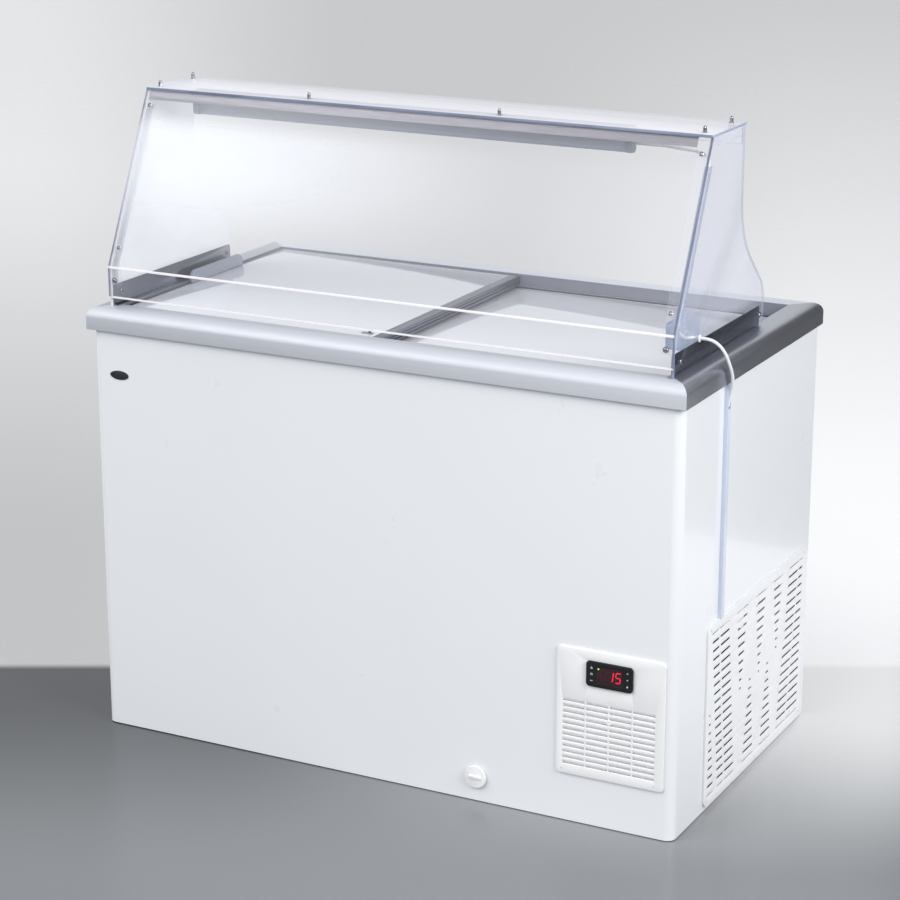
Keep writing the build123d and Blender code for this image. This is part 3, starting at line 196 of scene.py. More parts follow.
def clear_sheet(name, colour, least, most, clear_below=None):
    """Clear acrylic or glass: thin face on, whiter at a slant, clearer below a node's top, faintly wiped. On
    the guard's sheets this film of colour is a painted sheen.
    """
    finish = Finish(name, colour, 0.03, IOR=1.49)
    slant = finish.node("ShaderNodeLayerWeight", None, {"Blend": 0.5}, output="Facing")
    film = finish.ramp(slant, 0.25, 0.95, least, most)
    if clear_below:
        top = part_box(clear_below)[1].z
        film = film * finish.ramp(finish.axis("Z"), top, top + 30 * MM, 0.15, 1.0)
    wipes = finish.noise(5.0, 6.0, (1, 1, 3))
    finish.feed("Alpha", film * (wipes * 0.3 + 0.85))
    finish.vary_roughness(wipes, 0.05)
    finish.bump(finish.noise(3.0, 1.0), 0.1 * MM)
    return finish.material


def front_sheet(name, colour):
    """Clear front: a soft pale sheen, painted, on its upper part fades to the right, the foot and the shelf.
    """
    finish = Finish(name, colour, 0.06, IOR=1.49, Specular_IOR_Level=0.15)
    low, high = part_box("guard_front")
    height = high.z - low.z
    rise = finish.ramp(finish.axis("Z"), low.z + 0.2 * height, low.z + 0.7 * height)
    lamp_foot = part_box("light_diffuser")[0].z
    fall = finish.ramp(finish.axis("Z"), lamp_foot - 30 * MM, lamp_foot + 15 * MM, 1.0, 0.2)
    fade = finish.ramp(finish.axis("X"), low.x * 0.9, high.x * 0.5, 0.40, 0.03)
    wipes = finish.noise(5.0, 6.0, (1, 1, 3))
    clearest = 0.04
    # the film is the painted sheen, strongest on its upper left part
    finish.feed("Alpha", (rise * fall * fade + clearest) * (wipes * 0.2 + 0.9))
    return finish.material


def lid_pane_finish(name, colour):
    """Coated glass: mirrors what stands behind it at a slant, and is seen through from above."""
    finish = Finish(name, colour, 0.035, Metallic=0.3)
    slant = finish.node("ShaderNodeLayerWeight", None, {"Blend": 0.5}, output="Facing")
    breath = finish.noise(4.0, 5.0)
    finish.feed("Alpha", finish.ramp(slant, 0.15, 0.6, 0.45, 0.94) * (breath * 0.08 + 0.96))
    finish.vary_roughness(breath, 0.03)
    finish.bump(finish.noise(2.0, 1.0), 0.12 * MM)
    return finish.material


def glowing(name, colour, strength, roughness=0.4):
    """Lit plastic, a little brighter in the middle of its grain. On the printed signs, which are no lamps,
    this glow is a painted glow.
    """
    finish = Finish(name, colour, roughness, Emission_Strength=strength)
    speck = finish.ramp(finish.noise(600.0, 2.0), 0.3, 0.7)
    finish.feed("Emission Color", finish.tint(speck, darkened(colour, 0.86)))
    return finish.material


def foam_finish(name, colour):
    finish = Finish(name, colour, 0.9)
    cells = finish.node("ShaderNodeTexVoronoi", None, {"Vector": finish.place(), "Scale": 260.0})
    finish.bump(cells, 0.6 * MM)
    finish.feed("Base Color", finish.tint(cells, darkened(colour, 0.7)))
    return finish.material


def grey(level):
    """A nearly neutral tone, a touch cooler than plain grey."""
    return (level * 0.995, level, level * 1.01, 1)


# Backdrop: how pale it is where the floor ends, and far behind it. These greys are painted light and shade:
# the left brightens far behind, the right darkens far behind, and the middle stays darker.
LEFT_NEAR, LEFT_FAR = grey(0.50), grey(0.95)
RIGHT_NEAR, RIGHT_FAR = grey(0.94), grey(0.64)
MIDDLE = grey(0.60)


def floor_finish(name, stage):
    """Floor with a painted pool of light at its right rear and painted shade at its left rear, and a paler
    backdrop behind a straight line.
    """
    finish = Finish(name, tuple(stage.floor_front), 0.24)
    across, away = finish.axis("X"), finish.axis("Y")
    speckle = finish.ramp(finish.noise(420.0, 2.0), 0.35, 0.7)
    front = finish.tint(speckle, darkened(stage.floor_front, 0.93))
    # painted light and shade on the floor behind the cabinet: dark at the left rear, a pool of light at the
    # right rear
    pool = finish.blend(finish.ramp(across, -0.5, 0.9), (*stage.floor_shade, 1), (*stage.floor_light_pool, 1))
    floor = finish.blend(finish.ramp(away, -0.75, 0.15), front, pool)
    bearing = across / (away + stage.distance)
    left = finish.blend(finish.ramp(away, 0.6, 6.5), LEFT_NEAR, LEFT_FAR)
    right = finish.blend(finish.ramp(away, 1.0, 13.0), RIGHT_NEAR, RIGHT_FAR)
    backdrop = finish.blend(finish.ramp(bearing, -0.17, -0.03), left, MIDDLE)
    backdrop = finish.blend(finish.ramp(bearing, 0.0, 0.15), backdrop, right)
    behind = finish.ramp(away, stage.floor_line - 10 * MM, stage.floor_line + 30 * MM)
    finish.feed("Base Color", finish.blend(behind, floor, backdrop))
    finish.vary_roughness(finish.noise(26.0, 4.0), 0.08)
    return finish.material


FINISHES = {  # recipe, colour or its setting, and the recipe's other values
    "enamel": (painted, "enamel"),
    # near-black on the shell's inner faces: painted shade, so that the slots in the shell look black
    "primer": (moulded, (0.035, 0.036, 0.04), 0.7, 500.0),
    "rim_along": (drawn, "rim", 0.56, (0.4, 12, 12), 0.04, {"Metallic": 0.5}),
    "rim_across": (drawn, "rim", 0.4, (12, 0.4, 12), 0.04),
    "track_grey": (moulded, (0.16, 0.17, 0.21), 0.34, 700.0),
    "lid_grey": (drawn, (0.30, 0.31, 0.37), 0.32, (12, 0.4, 12), 0.08),
    "handle_grey": (moulded, (0.30, 0.33, 0.40), 0.3, 900.0, {"Coat_Weight": 0.3}),
    "lid_pane": (lid_pane_finish, "pane"),
    # clear front with a painted sheen
    "acrylic_front": (front_sheet, (0.93, 0.95, 1.0)),
    # guard sheets, one acrylic: a pale film on the lit left sheet, a painted sheen; a darker bluish film on
    # the right one, painted shade that thins below the brackets' top; a pale film on the shelf at a slant, a
    # painted sheen
    "acrylic_left": (clear_sheet, (0.97, 0.98, 1.0), 0.6, 0.85),
    "acrylic_right": (clear_sheet, (0.64, 0.67, 0.78), 0.12, 0.42, "guard_brackets"),
    "acrylic_shelf": (clear_sheet, (0.92, 0.93, 0.98), 0.12, 0.66),
    # dark blue-grey cut edges: acrylic's edge tint, deepened as painted shade
    "acrylic_edge": (moulded, (0.23, 0.26, 0.38), 0.2, 300.0, 0.01 * MM, 0.3),
    "acrylic_soft_edge": (clear_sheet, (0.40, 0.44, 0.60), 0.4, 0.7),
    # pale cut edges and strips: a painted highlight
    "acrylic_pale_edge": (clear_sheet, (0.84, 0.82, 0.84), 0.8, 0.95),
    "strip": (clear_sheet, (0.80, 0.84, 0.94), 0.08, 0.5),
    "channel": (clear_sheet, (0.30, 0.38, 0.55), 0.5, 0.85),
    "bracket_steel": (drawn, (0.31, 0.325, 0.38), 0.16, (12, 0.4, 12), 0.05),
    "rail": (drawn, (0.44, 0.43, 0.48), 0.5, (0.3, 10, 16), 0.14),
    "fastener": (drawn, (0.42, 0.43, 0.46), 0.22, (3, 3, 3), 0.08),
    "lamp_body": (moulded, (0.34, 0.36, 0.43), 0.32, 800.0),
    "lamp_lens": (clear_sheet, (0.44, 0.47, 0.56), 0.75, 0.92),
    "lamp_strip": (glowing, (0.84, 0.88, 0.98), 0.12),
    "lead": (moulded, (0.80, 0.82, 0.86), 0.36, 1200.0, {"Coat_Weight": 0.2}),
    "duct": (moulded, (0.62, 0.68, 0.80), 0.3, 900.0, {"Coat_Weight": 0.3}),
    "bezel": (moulded, (0.84, 0.84, 0.85), 0.36, 1100.0, 0.015 * MM, 0.03),
    "grille": (moulded, (0.80, 0.81, 0.83), 0.36, 1100.0, 0.015 * MM, 0.03),
    "meter_black": (moulded, (0.005, 0.005, 0.006), 0.42, 1200.0, 0.01 * MM),
    "meter_window": (clear_sheet, (0.06, 0.02, 0.03), 0.62, 0.9),
    # printed signs with a faint emission: a painted glow, as they are no lamp
    "meter_mark": (glowing, (0.45, 0.46, 0.5), 0.12),
    "digit_lit": (glowing, (1.0, 0.03, 0.05), 2.2),
    "digit_dark": (moulded, (0.045, 0.02, 0.024), 0.5),
    "led_green": (glowing, (0.25, 1.0, 0.1), 1.6),
    "key_black": (moulded, (0.007, 0.007, 0.008), 0.5, 1200.0),
    "badge": (drawn, (0.10, 0.11, 0.13), 0.3, (0.4, 12, 12)),
    "tank": (drawn, (0.66, 0.68, 0.72), 0.3, (10, 10, 0.5), 0.08),
    "rack": (moulded, (0.80, 0.81, 0.83), 0.3, 600.0, {"Coat_Weight": 0.5}),
    "foam": (foam_finish, (0.78, 0.70, 0.46)),
    "copper": (drawn, (0.72, 0.36, 0.22), 0.3, (3, 3, 3), 0.3),
    "galvanised": (drawn, (0.48, 0.50, 0.52), 0.38, (2, 2, 2), 0.3),
    # near black: the black paint that condenser fins often have, and painted shade inside the machine bay
    # behind the grille
    "fins": (moulded, (0.012, 0.012, 0.013), 0.5, 900.0),
    "pot_black": (painted, (0.012, 0.012, 0.014)),
    "rubber": (moulded, (0.015, 0.015, 0.016), 0.75, 500.0, 0.05 * MM),
    "foot": (moulded, (0.02, 0.02, 0.02), 0.6, 500.0, 0.04 * MM),
}
_made = {}


def material(name):
    """The named finish, made the first time that it is asked for."""
    if name not in _made:
        recipe, colour, *values = FINISHES[name]
        named = values.pop() if values and isinstance(values[-1], dict) else {}
        if isinstance(colour, str):
            colour = tuple(getattr(bpy.context.scene.cabinet_tones, colour))
        _made[name] = recipe(name, colour, *values, **named)
    return _made[name]


# ------------------------------------------------------------------ meshes
def linked(name, data):
    """An object for that data, in the scene."""
    obj = bpy.data.objects.new(name, data)
    bpy.context.scene.collection.objects.link(obj)
    return obj


def merged(node, whole_faces=True):
    """Joined copy of a CAD node's mesh, with its flat areas in one face each unless it is a pierced plate."""
    mesh = bmesh.new()
    mesh.from_mesh(frame["nodes"][node].data)
    bmesh.ops.remove_doubles(mesh, verts=mesh.verts, dist=MERGE)
    if whole_faces:
        bmesh.ops.dissolve_limit(mesh, angle_limit=FLAT, verts=mesh.verts, edges=mesh.edges)
    return mesh


def islands(node):
    """The loose parts of a CAD node: centre, lowest and highest corner, and widest face's normal."""
    mesh = merged(node)
    todo = set(mesh.verts)
    parts = []
    while todo:
        found = {todo.pop()}
        front = list(found)
        while front:
            for edge in front.pop().link_edges:
                for vert in edge.verts:
                    if vert not in found:
                        found.add(vert)
                        front.append(vert)
        todo -= found
        low = Vector(min(v.co[i] for v in found) for i in range(3))
        high = Vector(max(v.co[i] for v in found) for i in range(3))
        faces = {face for vert in found for face in vert.link_faces}
        widest = max(faces, key=lambda face: face.calc_area())
        parts.append(((low + high) / 2, low, high, widest.normal.copy()))
    mesh.free()
    return sorted(parts, key=lambda part: tuple(round(value, 4) for value in part[0]))


def held(name, mesh, body, finishes, stands_for=()):
    """A finished piece on its body, in place of the CAD nodes that it stands for."""
    if isinstance(mesh, bmesh.types.BMesh):
        data = bpy.data.meshes.new(name)
        mesh.to_mesh(data)
        mesh.free()
    else:
        data = mesh
        data.name = name
    if finishes and not data.materials:
        for finish in finishes:
            data.materials.append(material(finish))
    obj = linked(name, data)
    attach(obj, body)
    if stands_for:
        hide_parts(*stands_for)
    return obj


def evaluated(holder):
    """What the holder's modifier makes, as plain mesh data. The holder goes."""
    depsgraph = bpy.context.evaluated_depsgraph_get()
    mesh = bpy.data.meshes.new_from_object(holder.evaluated_get(depsgraph))
    bpy.data.objects.remove(holder)
    return mesh


def rounded(mesh, width, finishes, segments=3):
    """The mesh with its sharp edges rounded, as plain mesh data."""
    data = bpy.data.meshes.new("rounding")
    for finish in finishes:
        data.materials.append(material(finish))
    mesh.normal_update()
    mesh.to_mesh(data)
    mesh.free()
    data.shade_smooth()
    holder = linked("rounding", data)
    bevel = holder.modifiers.new("edges", "BEVEL")
    bevel.width = width
    bevel.segments = segments
    bevel.limit_method = "ANGLE"
    bevel.angle_limit = SHARP
    bevel.use_clamp_overlap = False
    bevel.harden_normals = True
    bevel.miter_outer = "MITER_ARC"
    return evaluated(holder)


def soften(node, width, finish, whole_faces=True):
    """Replaces a CAD node with a copy whose edges are rounded."""
    mesh = rounded(merged(node, whole_faces), width * MM, [finish])
    return held(node + "_finished", mesh, BODY_OF[node], [], [node])


def keep(node, finish):
    """A CAD node that stays as it is, in a better finish."""
    data = frame["nodes"][node].data
    data.materials.clear()
    data.materials.append(material(finish))


def box_mesh(low, high, mesh=None):
    """Adds a closed box between two corners."""
    mesh = mesh or bmesh.new()
    size = Vector(high) - Vector(low)
    place = Matrix.Translation((Vector(low) + Vector(high)) / 2) @ Matrix.Diagonal((*size, 1))
    bmesh.ops.create_cube(mesh, size=1, matrix=place)
    return mesh


def slab(outline, normal, depth, mesh=None):
    """Adds a closed plate from a flat outline, carried back from its face."""
    mesh = mesh or bmesh.new()
    back = Vector(normal) * -depth
    top = [mesh.verts.new(point) for point in outline]
    low = [mesh.verts.new(Vector(point) + back) for point in outline]
    faces = [mesh.faces.new(top), mesh.faces.new(low[::-1])]
    for i in range(len(outline)):
        j = (i + 1) % len(outline)
        faces.append(mesh.faces.new((top[j], top[i], low[i], low[j])))
    bmesh.ops.recalc_face_normals(mesh, faces=faces)
    return mesh


FRONT_CUT, OTHER_CUT = 1, 2  # a clear sheet's finishes for its cut edges, after the one for its faces


def cut_edges(mesh, narrow):
    """Gives a sheet's cut edges their own finishes: dark where they face forwards, softer elsewhere. The dark
    is acrylic's edge tint, deepened as painted shade.
    """
    mesh.normal_update()
    for face in mesh.faces:
        width = 2 * face.calc_area() / face.calc_perimeter()
        if width < narrow:
            face.material_index = FRONT_CUT if face.normal.y < -0.3 else OTHER_CUT


# ------------------------------------------------------------------ geometry nodes
class Recipe:
    """A Geometry Nodes tree under construction, run on a mesh of points."""

    def __init__(self, name, sizes):
        self.tree = bpy.data.node_groups.new(name, "GeometryNodeTree")
        self.sizes = sizes
        face = self.tree.interface
        face.new_socket("Points", in_out="INPUT", socket_type="NodeSocketGeometry")
        for label in sizes:
            face.new_socket(label, in_out="INPUT", socket_type="NodeSocketFloat")
        face.new_socket("Finish", in_out="INPUT", socket_type="NodeSocketMaterial")
        face.new_socket("Result", in_out="OUTPUT", socket_type="NodeSocketGeometry")
        self.given = self.tree.nodes.new("NodeGroupInput")
        self.result = self.tree.nodes.new("NodeGroupOutput")

    def size(self, label):
        return self.given.outputs[label]

    def add(self, kind, settings=None, values=None):
        made = self.tree.nodes.new(kind)
        for key, value in (settings or {}).items():
            setattr(made, key, value)
        for key, value in (values or {}).items():
            if isinstance(value, list):
                for part in value:
                    self.tree.links.new(part, made.inputs[key])
            elif isinstance(value, bpy.types.NodeSocket):
                self.tree.links.new(value, made.inputs[key])
            else:
                made.inputs[key].default_value = value
        return made.outputs[0]

    def times(self, socket, share):
        return self.add("ShaderNodeMath", {"operation": "MULTIPLY"}, {0: socket, 1: share})

    def moved(self, geometry, offset=(0, 0, 0), turn=(0, 0, 0), scale=(1, 1, 1)):
        values = {"Geometry": geometry, "Translation": offset, "Rotation": turn, "Scale": scale}
        return self.add("GeometryNodeTransform", None, values)

    def ball(self, segments, radius):
        values = {"Segments": segments, "Rings": segments // 2, "Radius": radius}
        return self.add("GeometryNodeMeshUVSphere", None, values)

    def cylinder(self, sides, radius, depth):
        values = {"Vertices": sides, "Radius": radius, "Depth": depth}
        return self.add("GeometryNodeMeshCylinder", None, values)

    def joined(self, parts):
        return self.add("GeometryNodeJoinGeometry", None, {"Geometry": parts})

    def cut(self, geometry, tools):
        values = {"Mesh 1": geometry, "Mesh 2": tools}
        return self.add("GeometryNodeMeshBoolean", {"operation": "DIFFERENCE"}, values)

    def along(self, x=0.0, y=0.0, z=0.0):
        return self.add("ShaderNodeCombineXYZ", None, {"X": x, "Y": y, "Z": z})

    def on_points(self, geometry, turn):
        """Ends the tree: the piece on each point, turned, as real mesh in its finish."""
        values = {"Points": self.given.outputs["Points"], "Instance": geometry, "Rotation": turn}
        placed = self.add("GeometryNodeInstanceOnPoints", None, values)
        real = self.add("GeometryNodeRealizeInstances", None, {"Geometry": placed})
        finish = {"Geometry": real, "Material": self.given.outputs["Finish"]}
        done = self.add("GeometryNodeSetMaterial", None, finish)
        self.tree.links.new(done, self.result.inputs["Result"])

    def run(self, points, finish):
        """The tree's plain mesh on these points."""
        holder = linked("recipe", points)
        modifier = holder.modifiers.new("recipe", "NODES")
        modifier.node_group = self.tree
        for item in self.tree.interface.items_tree:
            if item.in_out == "INPUT" and item.name in self.sizes:
                modifier[item.identifier] = self.sizes[item.name]
            elif item.in_out == "INPUT" and item.name == "Finish":
                modifier[item.identifier] = finish
        mesh = evaluated(holder)
        mesh.shade_smooth()
        mesh.set_sharp_from_angle(angle=SHARP)
        return mesh


def facing_points(places):
    """Mesh of points, each with the direction that its piece faces."""
    points = bpy.data.meshes.new("places")
    points.from_pydata([tuple(place) for place, _ in places], [], [])
    facing = points.attributes.new("facing", "FLOAT_VECTOR", "POINT")
    for item, (_, direction) in zip(facing.data, places):
        item.vector = direction
    return points


def facing_turn(recipe):
    named = recipe.add("GeometryNodeInputNamedAttribute", {"data_type": "FLOAT_VECTOR"}, {"Name": "facing"})
    return recipe.add("FunctionNodeAlignRotationToVector", {"axis": "Z"}, {"Vector": named})


def fastened(recipe, geometry, places):
    """The fastener on each of these places, facing out of its seat."""
    recipe.on_points(geometry, facing_turn(recipe))
    return recipe.run(facing_points(places), material("fastener"))


def dome_screws(places, radius):
    """Domed heads with a hexagon socket, each on a washer."""
    recipe = Recipe("dome_screw", {"Head Radius": radius, "Washer Height": 0.7 * MM})
    head, washer = recipe.size("Head Radius"), recipe.size("Washer Height")
    dome = recipe.moved(recipe.ball(28, head), scale=(1, 1, 0.6))
    socket = recipe.cylinder(6, recipe.times(head, 0.52), recipe.times(head, 1.2))
    socket = recipe.moved(socket, recipe.along(z=recipe.times(head, 0.72)))
    ring = recipe.cylinder(32, recipe.times(head, 1.28), washer)
    ring = recipe.moved(ring, recipe.along(z=recipe.times(washer, 0.5)))
    return fastened(recipe, recipe.joined([recipe.cut(dome, [socket]), ring]), places)


def cap_nuts(places, radius):
    """Acorn nuts: washer, hexagon and dome."""
    recipe = Recipe("cap_nut", {"Nut Radius": radius, "Nut Height": 6.9 * MM, "Washer Height": 0.8 * MM})
    size, height, washer = [recipe.size(label) for label in ("Nut Radius", "Nut Height", "Washer Height")]
    hexagon = recipe.moved(recipe.cylinder(6, size, height), recipe.along(z=recipe.times(height, 0.6)))
    dome = recipe.ball(24, recipe.times(size, 0.82))
    dome = recipe.moved(dome, recipe.along(z=recipe.times(height, 1.25)), scale=(1, 1, 1.25))
    ring = recipe.cylinder(32, recipe.times(size, 1.3), washer)
    ring = recipe.moved(ring, recipe.along(z=recipe.times(washer, 0.5)))
    return fastened(recipe, recipe.joined([hexagon, dome, ring]), places)


def cross_screws(places, radius):
    """Low round heads with a cross recess."""
    recipe = Recipe("cross_screw", {"Head Radius": radius})
    head = recipe.size("Head Radius")
    dome = recipe.moved(recipe.ball(24, head), scale=(1, 1, 0.42))
    bars = []
    for turn in (0, math.pi / 2):
        bar = recipe.add("GeometryNodeMeshCube", None, {"Size": recipe.along(
            recipe.times(head, 1.2), recipe.times(head, 0.26), recipe.times(head, 0.6))})
        bars.append(recipe.moved(bar, recipe.along(z=recipe.times(head, 0.48)), (0, 0, turn)))
    return fastened(recipe, recipe.cut(dome, bars), places)


def louvre_blades(places, width, depth, lean):
    """Slanted blades, one behind each slot."""
    sizes = {"Blade Width": width, "Blade Depth": depth, "Lean": lean, "Sheet": 0.9 * MM}
    recipe = Recipe("louvre", sizes)
    blade = recipe.add("GeometryNodeMeshCube", None, {"Size": recipe.along(
        recipe.size("Blade Width"), recipe.size("Sheet"), recipe.size("Blade Depth"))})
    recipe.on_points(blade, recipe.along(x=recipe.size("Lean")))
    return recipe.run(facing_points(places), material("bezel"))


# ------------------------------------------------------------------ body, rim and lids
class CABINET_OT_body(bpy.types.Operator):
    """Enamelled body, base and feet"""

    bl_idname = "cabinet.body"
    bl_label = "Body"

    def execute(self, context):
        shell = merged("outer_shell", whole_faces=False)
        shell.normal_update()
        # Faces that look inwards get the near-black finish: painted shade inside the body, seen through the
        # slots.
        outside, inside = 0, 1
        for face in shell.faces:
            outwards = face.normal.xy.dot(face.calc_center_median().xy)
            face.material_index = inside if outwards < 0 else outside
        finishes = ["enamel", "primer"]
        held("outer_shell_painted", shell, "cabinet", finishes, ["outer_shell"])
        soften("rear_panel", 0.3, "enamel", whole_faces=False)
        keep("base_pan", "galvanised")
        soften("levelling_feet", 0.8, "foot")
        self.rear_screws()
        return {"FINISHED"}

    def rear_screws(self):
        """Screws along the top and bottom of the rear panel, and one halfway up each end."""
        low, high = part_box("rear_panel")
        inset, spaces = 14 * MM, 6
        bottom, middle, top = low.z + inset, (low.z + high.z) / 2, high.z - inset
        columns = [low.x + inset + i * (high.x - low.x - 2 * inset) / spaces for i in range(spaces + 1)]
        spots = [(x, z) for x in columns for z in (bottom, top)]
        spots += [(x, middle) for x in (columns[0], columns[-1])]
        seats = [(Vector((x, high.y, z)), Vector((0, 1, 0))) for x, z in spots]
        held("rear_panel_screws", cross_screws(seats, 4 * MM), "cabinet", [])


class CABINET_OT_rim(bpy.types.Operator):
    """Bullnose rim, lid tracks and end walls"""

    bl_idname = "cabinet.rim"
    bl_label = "Rim and tracks"

    def execute(self, context):
        for side, finish in (("front", "along"), ("rear", "along"), ("left", "across"), ("right", "across")):
            soften("rim_" + side, 0.35, "rim_" + finish)
        self.seal()
        for node in ("lid_tracks", "end_trims"):
            soften(node, 0.4, "track_grey")
        return {"FINISHED"}

    def seal(self):
        """Black rubber bead round the body, in the corner under the rim: it closes the joint, and its black
        also stands for the shadow line there, as painted shade.
        """
        low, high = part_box("outer_shell")
        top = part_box("rim_front")[0].z
        bottom, half = top - 2 * MM, 1.2 * MM
        bead = bmesh.new()
        for y in (low.y, high.y):
            box_mesh((low.x - half, y - half, bottom), (high.x + half, y + half, top), bead)
        for x in (low.x, high.x):
            box_mesh((x - half, low.y + half, bottom), (x + half, high.y - half, top), bead)
        held("rim_seal", bead, "cabinet", ["rubber"])


class CABINET_OT_lids(bpy.types.Operator):
    """Sliding lids with their panes, handle, grip and catch"""

    bl_idname = "cabinet.lids"
    bl_label = "Lids"

    def execute(self, context):
        for lid in ("upper", "lower"):
            soften(lid + "_lid_frame", 0.5, "lid_grey")
            soften(lid + "_lid_glass", 0.5, "lid_pane")
        soften("upper_lid_handle", 1.6, "handle_grey")
        soften("lower_lid_grip", 0.9, "handle_grey")
        soften("lid_catch", 0.3, "fastener")
        return {"FINISHED"}


# ------------------------------------------------------------------ serving guard
def sheet_thickness():
    low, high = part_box("guard_side_left")
    return high.x - low.x


def front_line(radius, offset):
    """Points up one face of the bent front, that far behind its outer face: Y and Z, from the foot up."""
    low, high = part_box("guard_front")
    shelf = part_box("guard_top")[0].y
    plain = merged("guard_front")
    bend = max(round(v.co.z, 6) for v in plain.verts if v.co.y < low.y + MM)
    plain.free()
    lean = math.atan2(shelf - low.y, high.z - bend)
    reach = radius - offset
    centre_y, centre_z = low.y + radius, bend - radius * math.tan(lean / 2)
    steps = 6
    arc = [(centre_y - reach * math.cos(lean * i / steps), centre_z + reach * math.sin(lean * i / steps))
           for i in range(steps + 1)]
    rise = high.z - arc[-1][1]
    pale_foot_strip = 2.6 * MM  # height of the pale strip at the foot's bottom: a painted highlight along its rounded edge
    foot = [(low.y + offset, low.z), (low.y + offset, low.z + pale_foot_strip)]
    return foot + arc + [(arc[-1][0] + rise * math.tan(lean), high.z)]


def bent_front(radius):
    """Bent acrylic front: upright foot, rounded bend, leaning upper part."""
    low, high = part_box("guard_front")
    outside, inside = front_line(radius, 0), front_line(radius, sheet_thickness())
    mesh = bmesh.new()
    rows = [[mesh.verts.new((x, y, z)) for x in (low.x, high.x)] for y, z in outside + inside[::-1]]
    count, last = len(outside), len(rows) - 1
    # The bend, the foot strips and the bottom edge take the pale finish, a painted highlight; the top edge
    # and the ends take the dark one, painted shade.
    for i, row in enumerate(rows):
        after = rows[(i + 1) % len(rows)]
        face = mesh.faces.new((row[0], row[1], after[1], after[0]))
        height = i if i < count else last - 1 - i
        if i == count - 1:
            face.material_index = FRONT_CUT
        elif i == last or height == 0 or 1 < height < count - 2:
            face.material_index = OTHER_CUT
    for side in (0, 1):
        for i in range(count - 1):
            corners = (rows[i][side], rows[i + 1][side], rows[last - 1 - i][side], rows[last - i][side])
            mesh.faces.new(corners).material_index = FRONT_CUT
    bmesh.ops.recalc_face_normals(mesh, faces=mesh.faces)
    return mesh


class CABINET_OT_guard(bpy.types.Operator):
    """Clear serving guard: sides, bent front, shelf, strips and cut edges"""

    bl_idname = "cabinet.guard"
    bl_label = "Serving guard"

    def execute(self, context):
        narrow = sheet_thickness() * 1.1
        sheets = (
            ("guard_side_left", "acrylic_left"),
            ("guard_side_right", "acrylic_right"),
            ("guard_top", "acrylic_shelf"),
            ("corner_strips", "strip"),
            ("top_strips", "strip"),
            ("cable_channel", "channel"),
            ("lead_cover", "channel"),
        )
        for node, finish in sheets:
            mesh, finishes = merged(node), [finish]
            if node.startswith("guard"):
                cut_edges(mesh, narrow)
                # Forward cut edges are pale on the lit left sheet, a painted highlight, and dark on the
                # others, painted shade.
                front_cut = "acrylic_pale_edge" if node == "guard_side_left" else "acrylic_edge"
                finishes += [front_cut, "acrylic_soft_edge"]
            mesh = rounded(mesh, 0.3 * MM, finishes, segments=2)
            held(node + "_sheet", mesh, BODY_OF[node], [], [node])
        front = bent_front(context.scene.cabinet_sizes.bend_radius)
        # The bent front's pale faces are a painted highlight and its dark ones painted shade.
        finishes = ["acrylic_front", "acrylic_edge", "acrylic_pale_edge"]
        held("guard_front_sheet", front, "cabinet", finishes, ["guard_front"])
        soften("guard_brackets", 0.3, "bracket_steel")
        soften("front_rail", 0.5, "rail")
        return {"FINISHED"}


class CABINET_OT_fasteners(bpy.types.Operator):
    """Domed screws, cap nuts and panel screws"""

    bl_idname = "cabinet.fasteners"
    bl_label = "Fasteners"

    def execute(self, context):
        sizes = context.scene.cabinet_sizes
        pieces = (
            ("guard_screw_heads", dome_screws(self.guard_seats(), sizes.screw_radius), "guard_screws"),
            ("shelf_cap_nuts", cap_nuts(self.shelf_seats(), sizes.nut_radius), "guard_cap_nuts"),
            ("panel_screw_heads", cross_screws(self.panel_seats(), sizes.panel_screw_radius), "panel_screws"),
        )
        for name, mesh, node in pieces:
            held(name, mesh, "cabinet", [], [node])
        return {"FINISHED"}

    def guard_seats(self):
        """Where each guard screw's head sits, and the way that it faces: away from the sheet it holds."""
        side_low, side_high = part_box("guard_side_right")
        middle = (side_low.x + side_high.x) / 2
        front_screw_half = 1.5 * MM  # half the height of a front screw's head
        seats = []
        for centre, low, high, normal in islands("guard_screws"):
            if abs(normal.x) > 0.5:
                out = Vector((math.copysign(1, centre.x) * math.copysign(1, abs(centre.x) - middle), 0, 0))
                half = (high.x - low.x) / 2
            else:
                out = normal * -math.copysign(1, normal.y)
                half = front_screw_half
            seats.append((centre - out * half, out))
        return seats

    def shelf_seats(self):
        up = Vector((0, 0, 1))
        return [(Vector((c.x, c.y, low.z)), up) for c, low, _, _ in islands("guard_cap_nuts")]

    def panel_seats(self):
        """Seats of the screws in the front panel and, facing right, in the side grille."""
        seats = []
        for centre, low, high, _ in islands("panel_screws"):
            out = Vector((0, -1, 0)) if high.y - low.y < high.x - low.x else Vector((1, 0, 0))
            reach = abs((high - low).dot(out)) / 2
            seats.append((centre - out * reach, out))
        return seats


# ------------------------------------------------------------------ lamp and lead
LEAD_ROUTE = [
    (0.590, -0.205, 0.912),
    (0.602, -0.2045, 0.9125),
    (0.6145, -0.201, 0.9085),
    (0.625, -0.195, 0.8985),
    (0.632, -0.188, 0.884),
    (0.6355, -0.180, 0.867),
    (0.637, -0.169, 0.849),
    (0.6355, -0.158, 0.831),
    (0.631, -0.148, 0.8115),
    (0.624, -0.1427, 0.7925),
    (0.6211, -0.142, 0.775),
]
LEAD_DIAMETER = 0.006


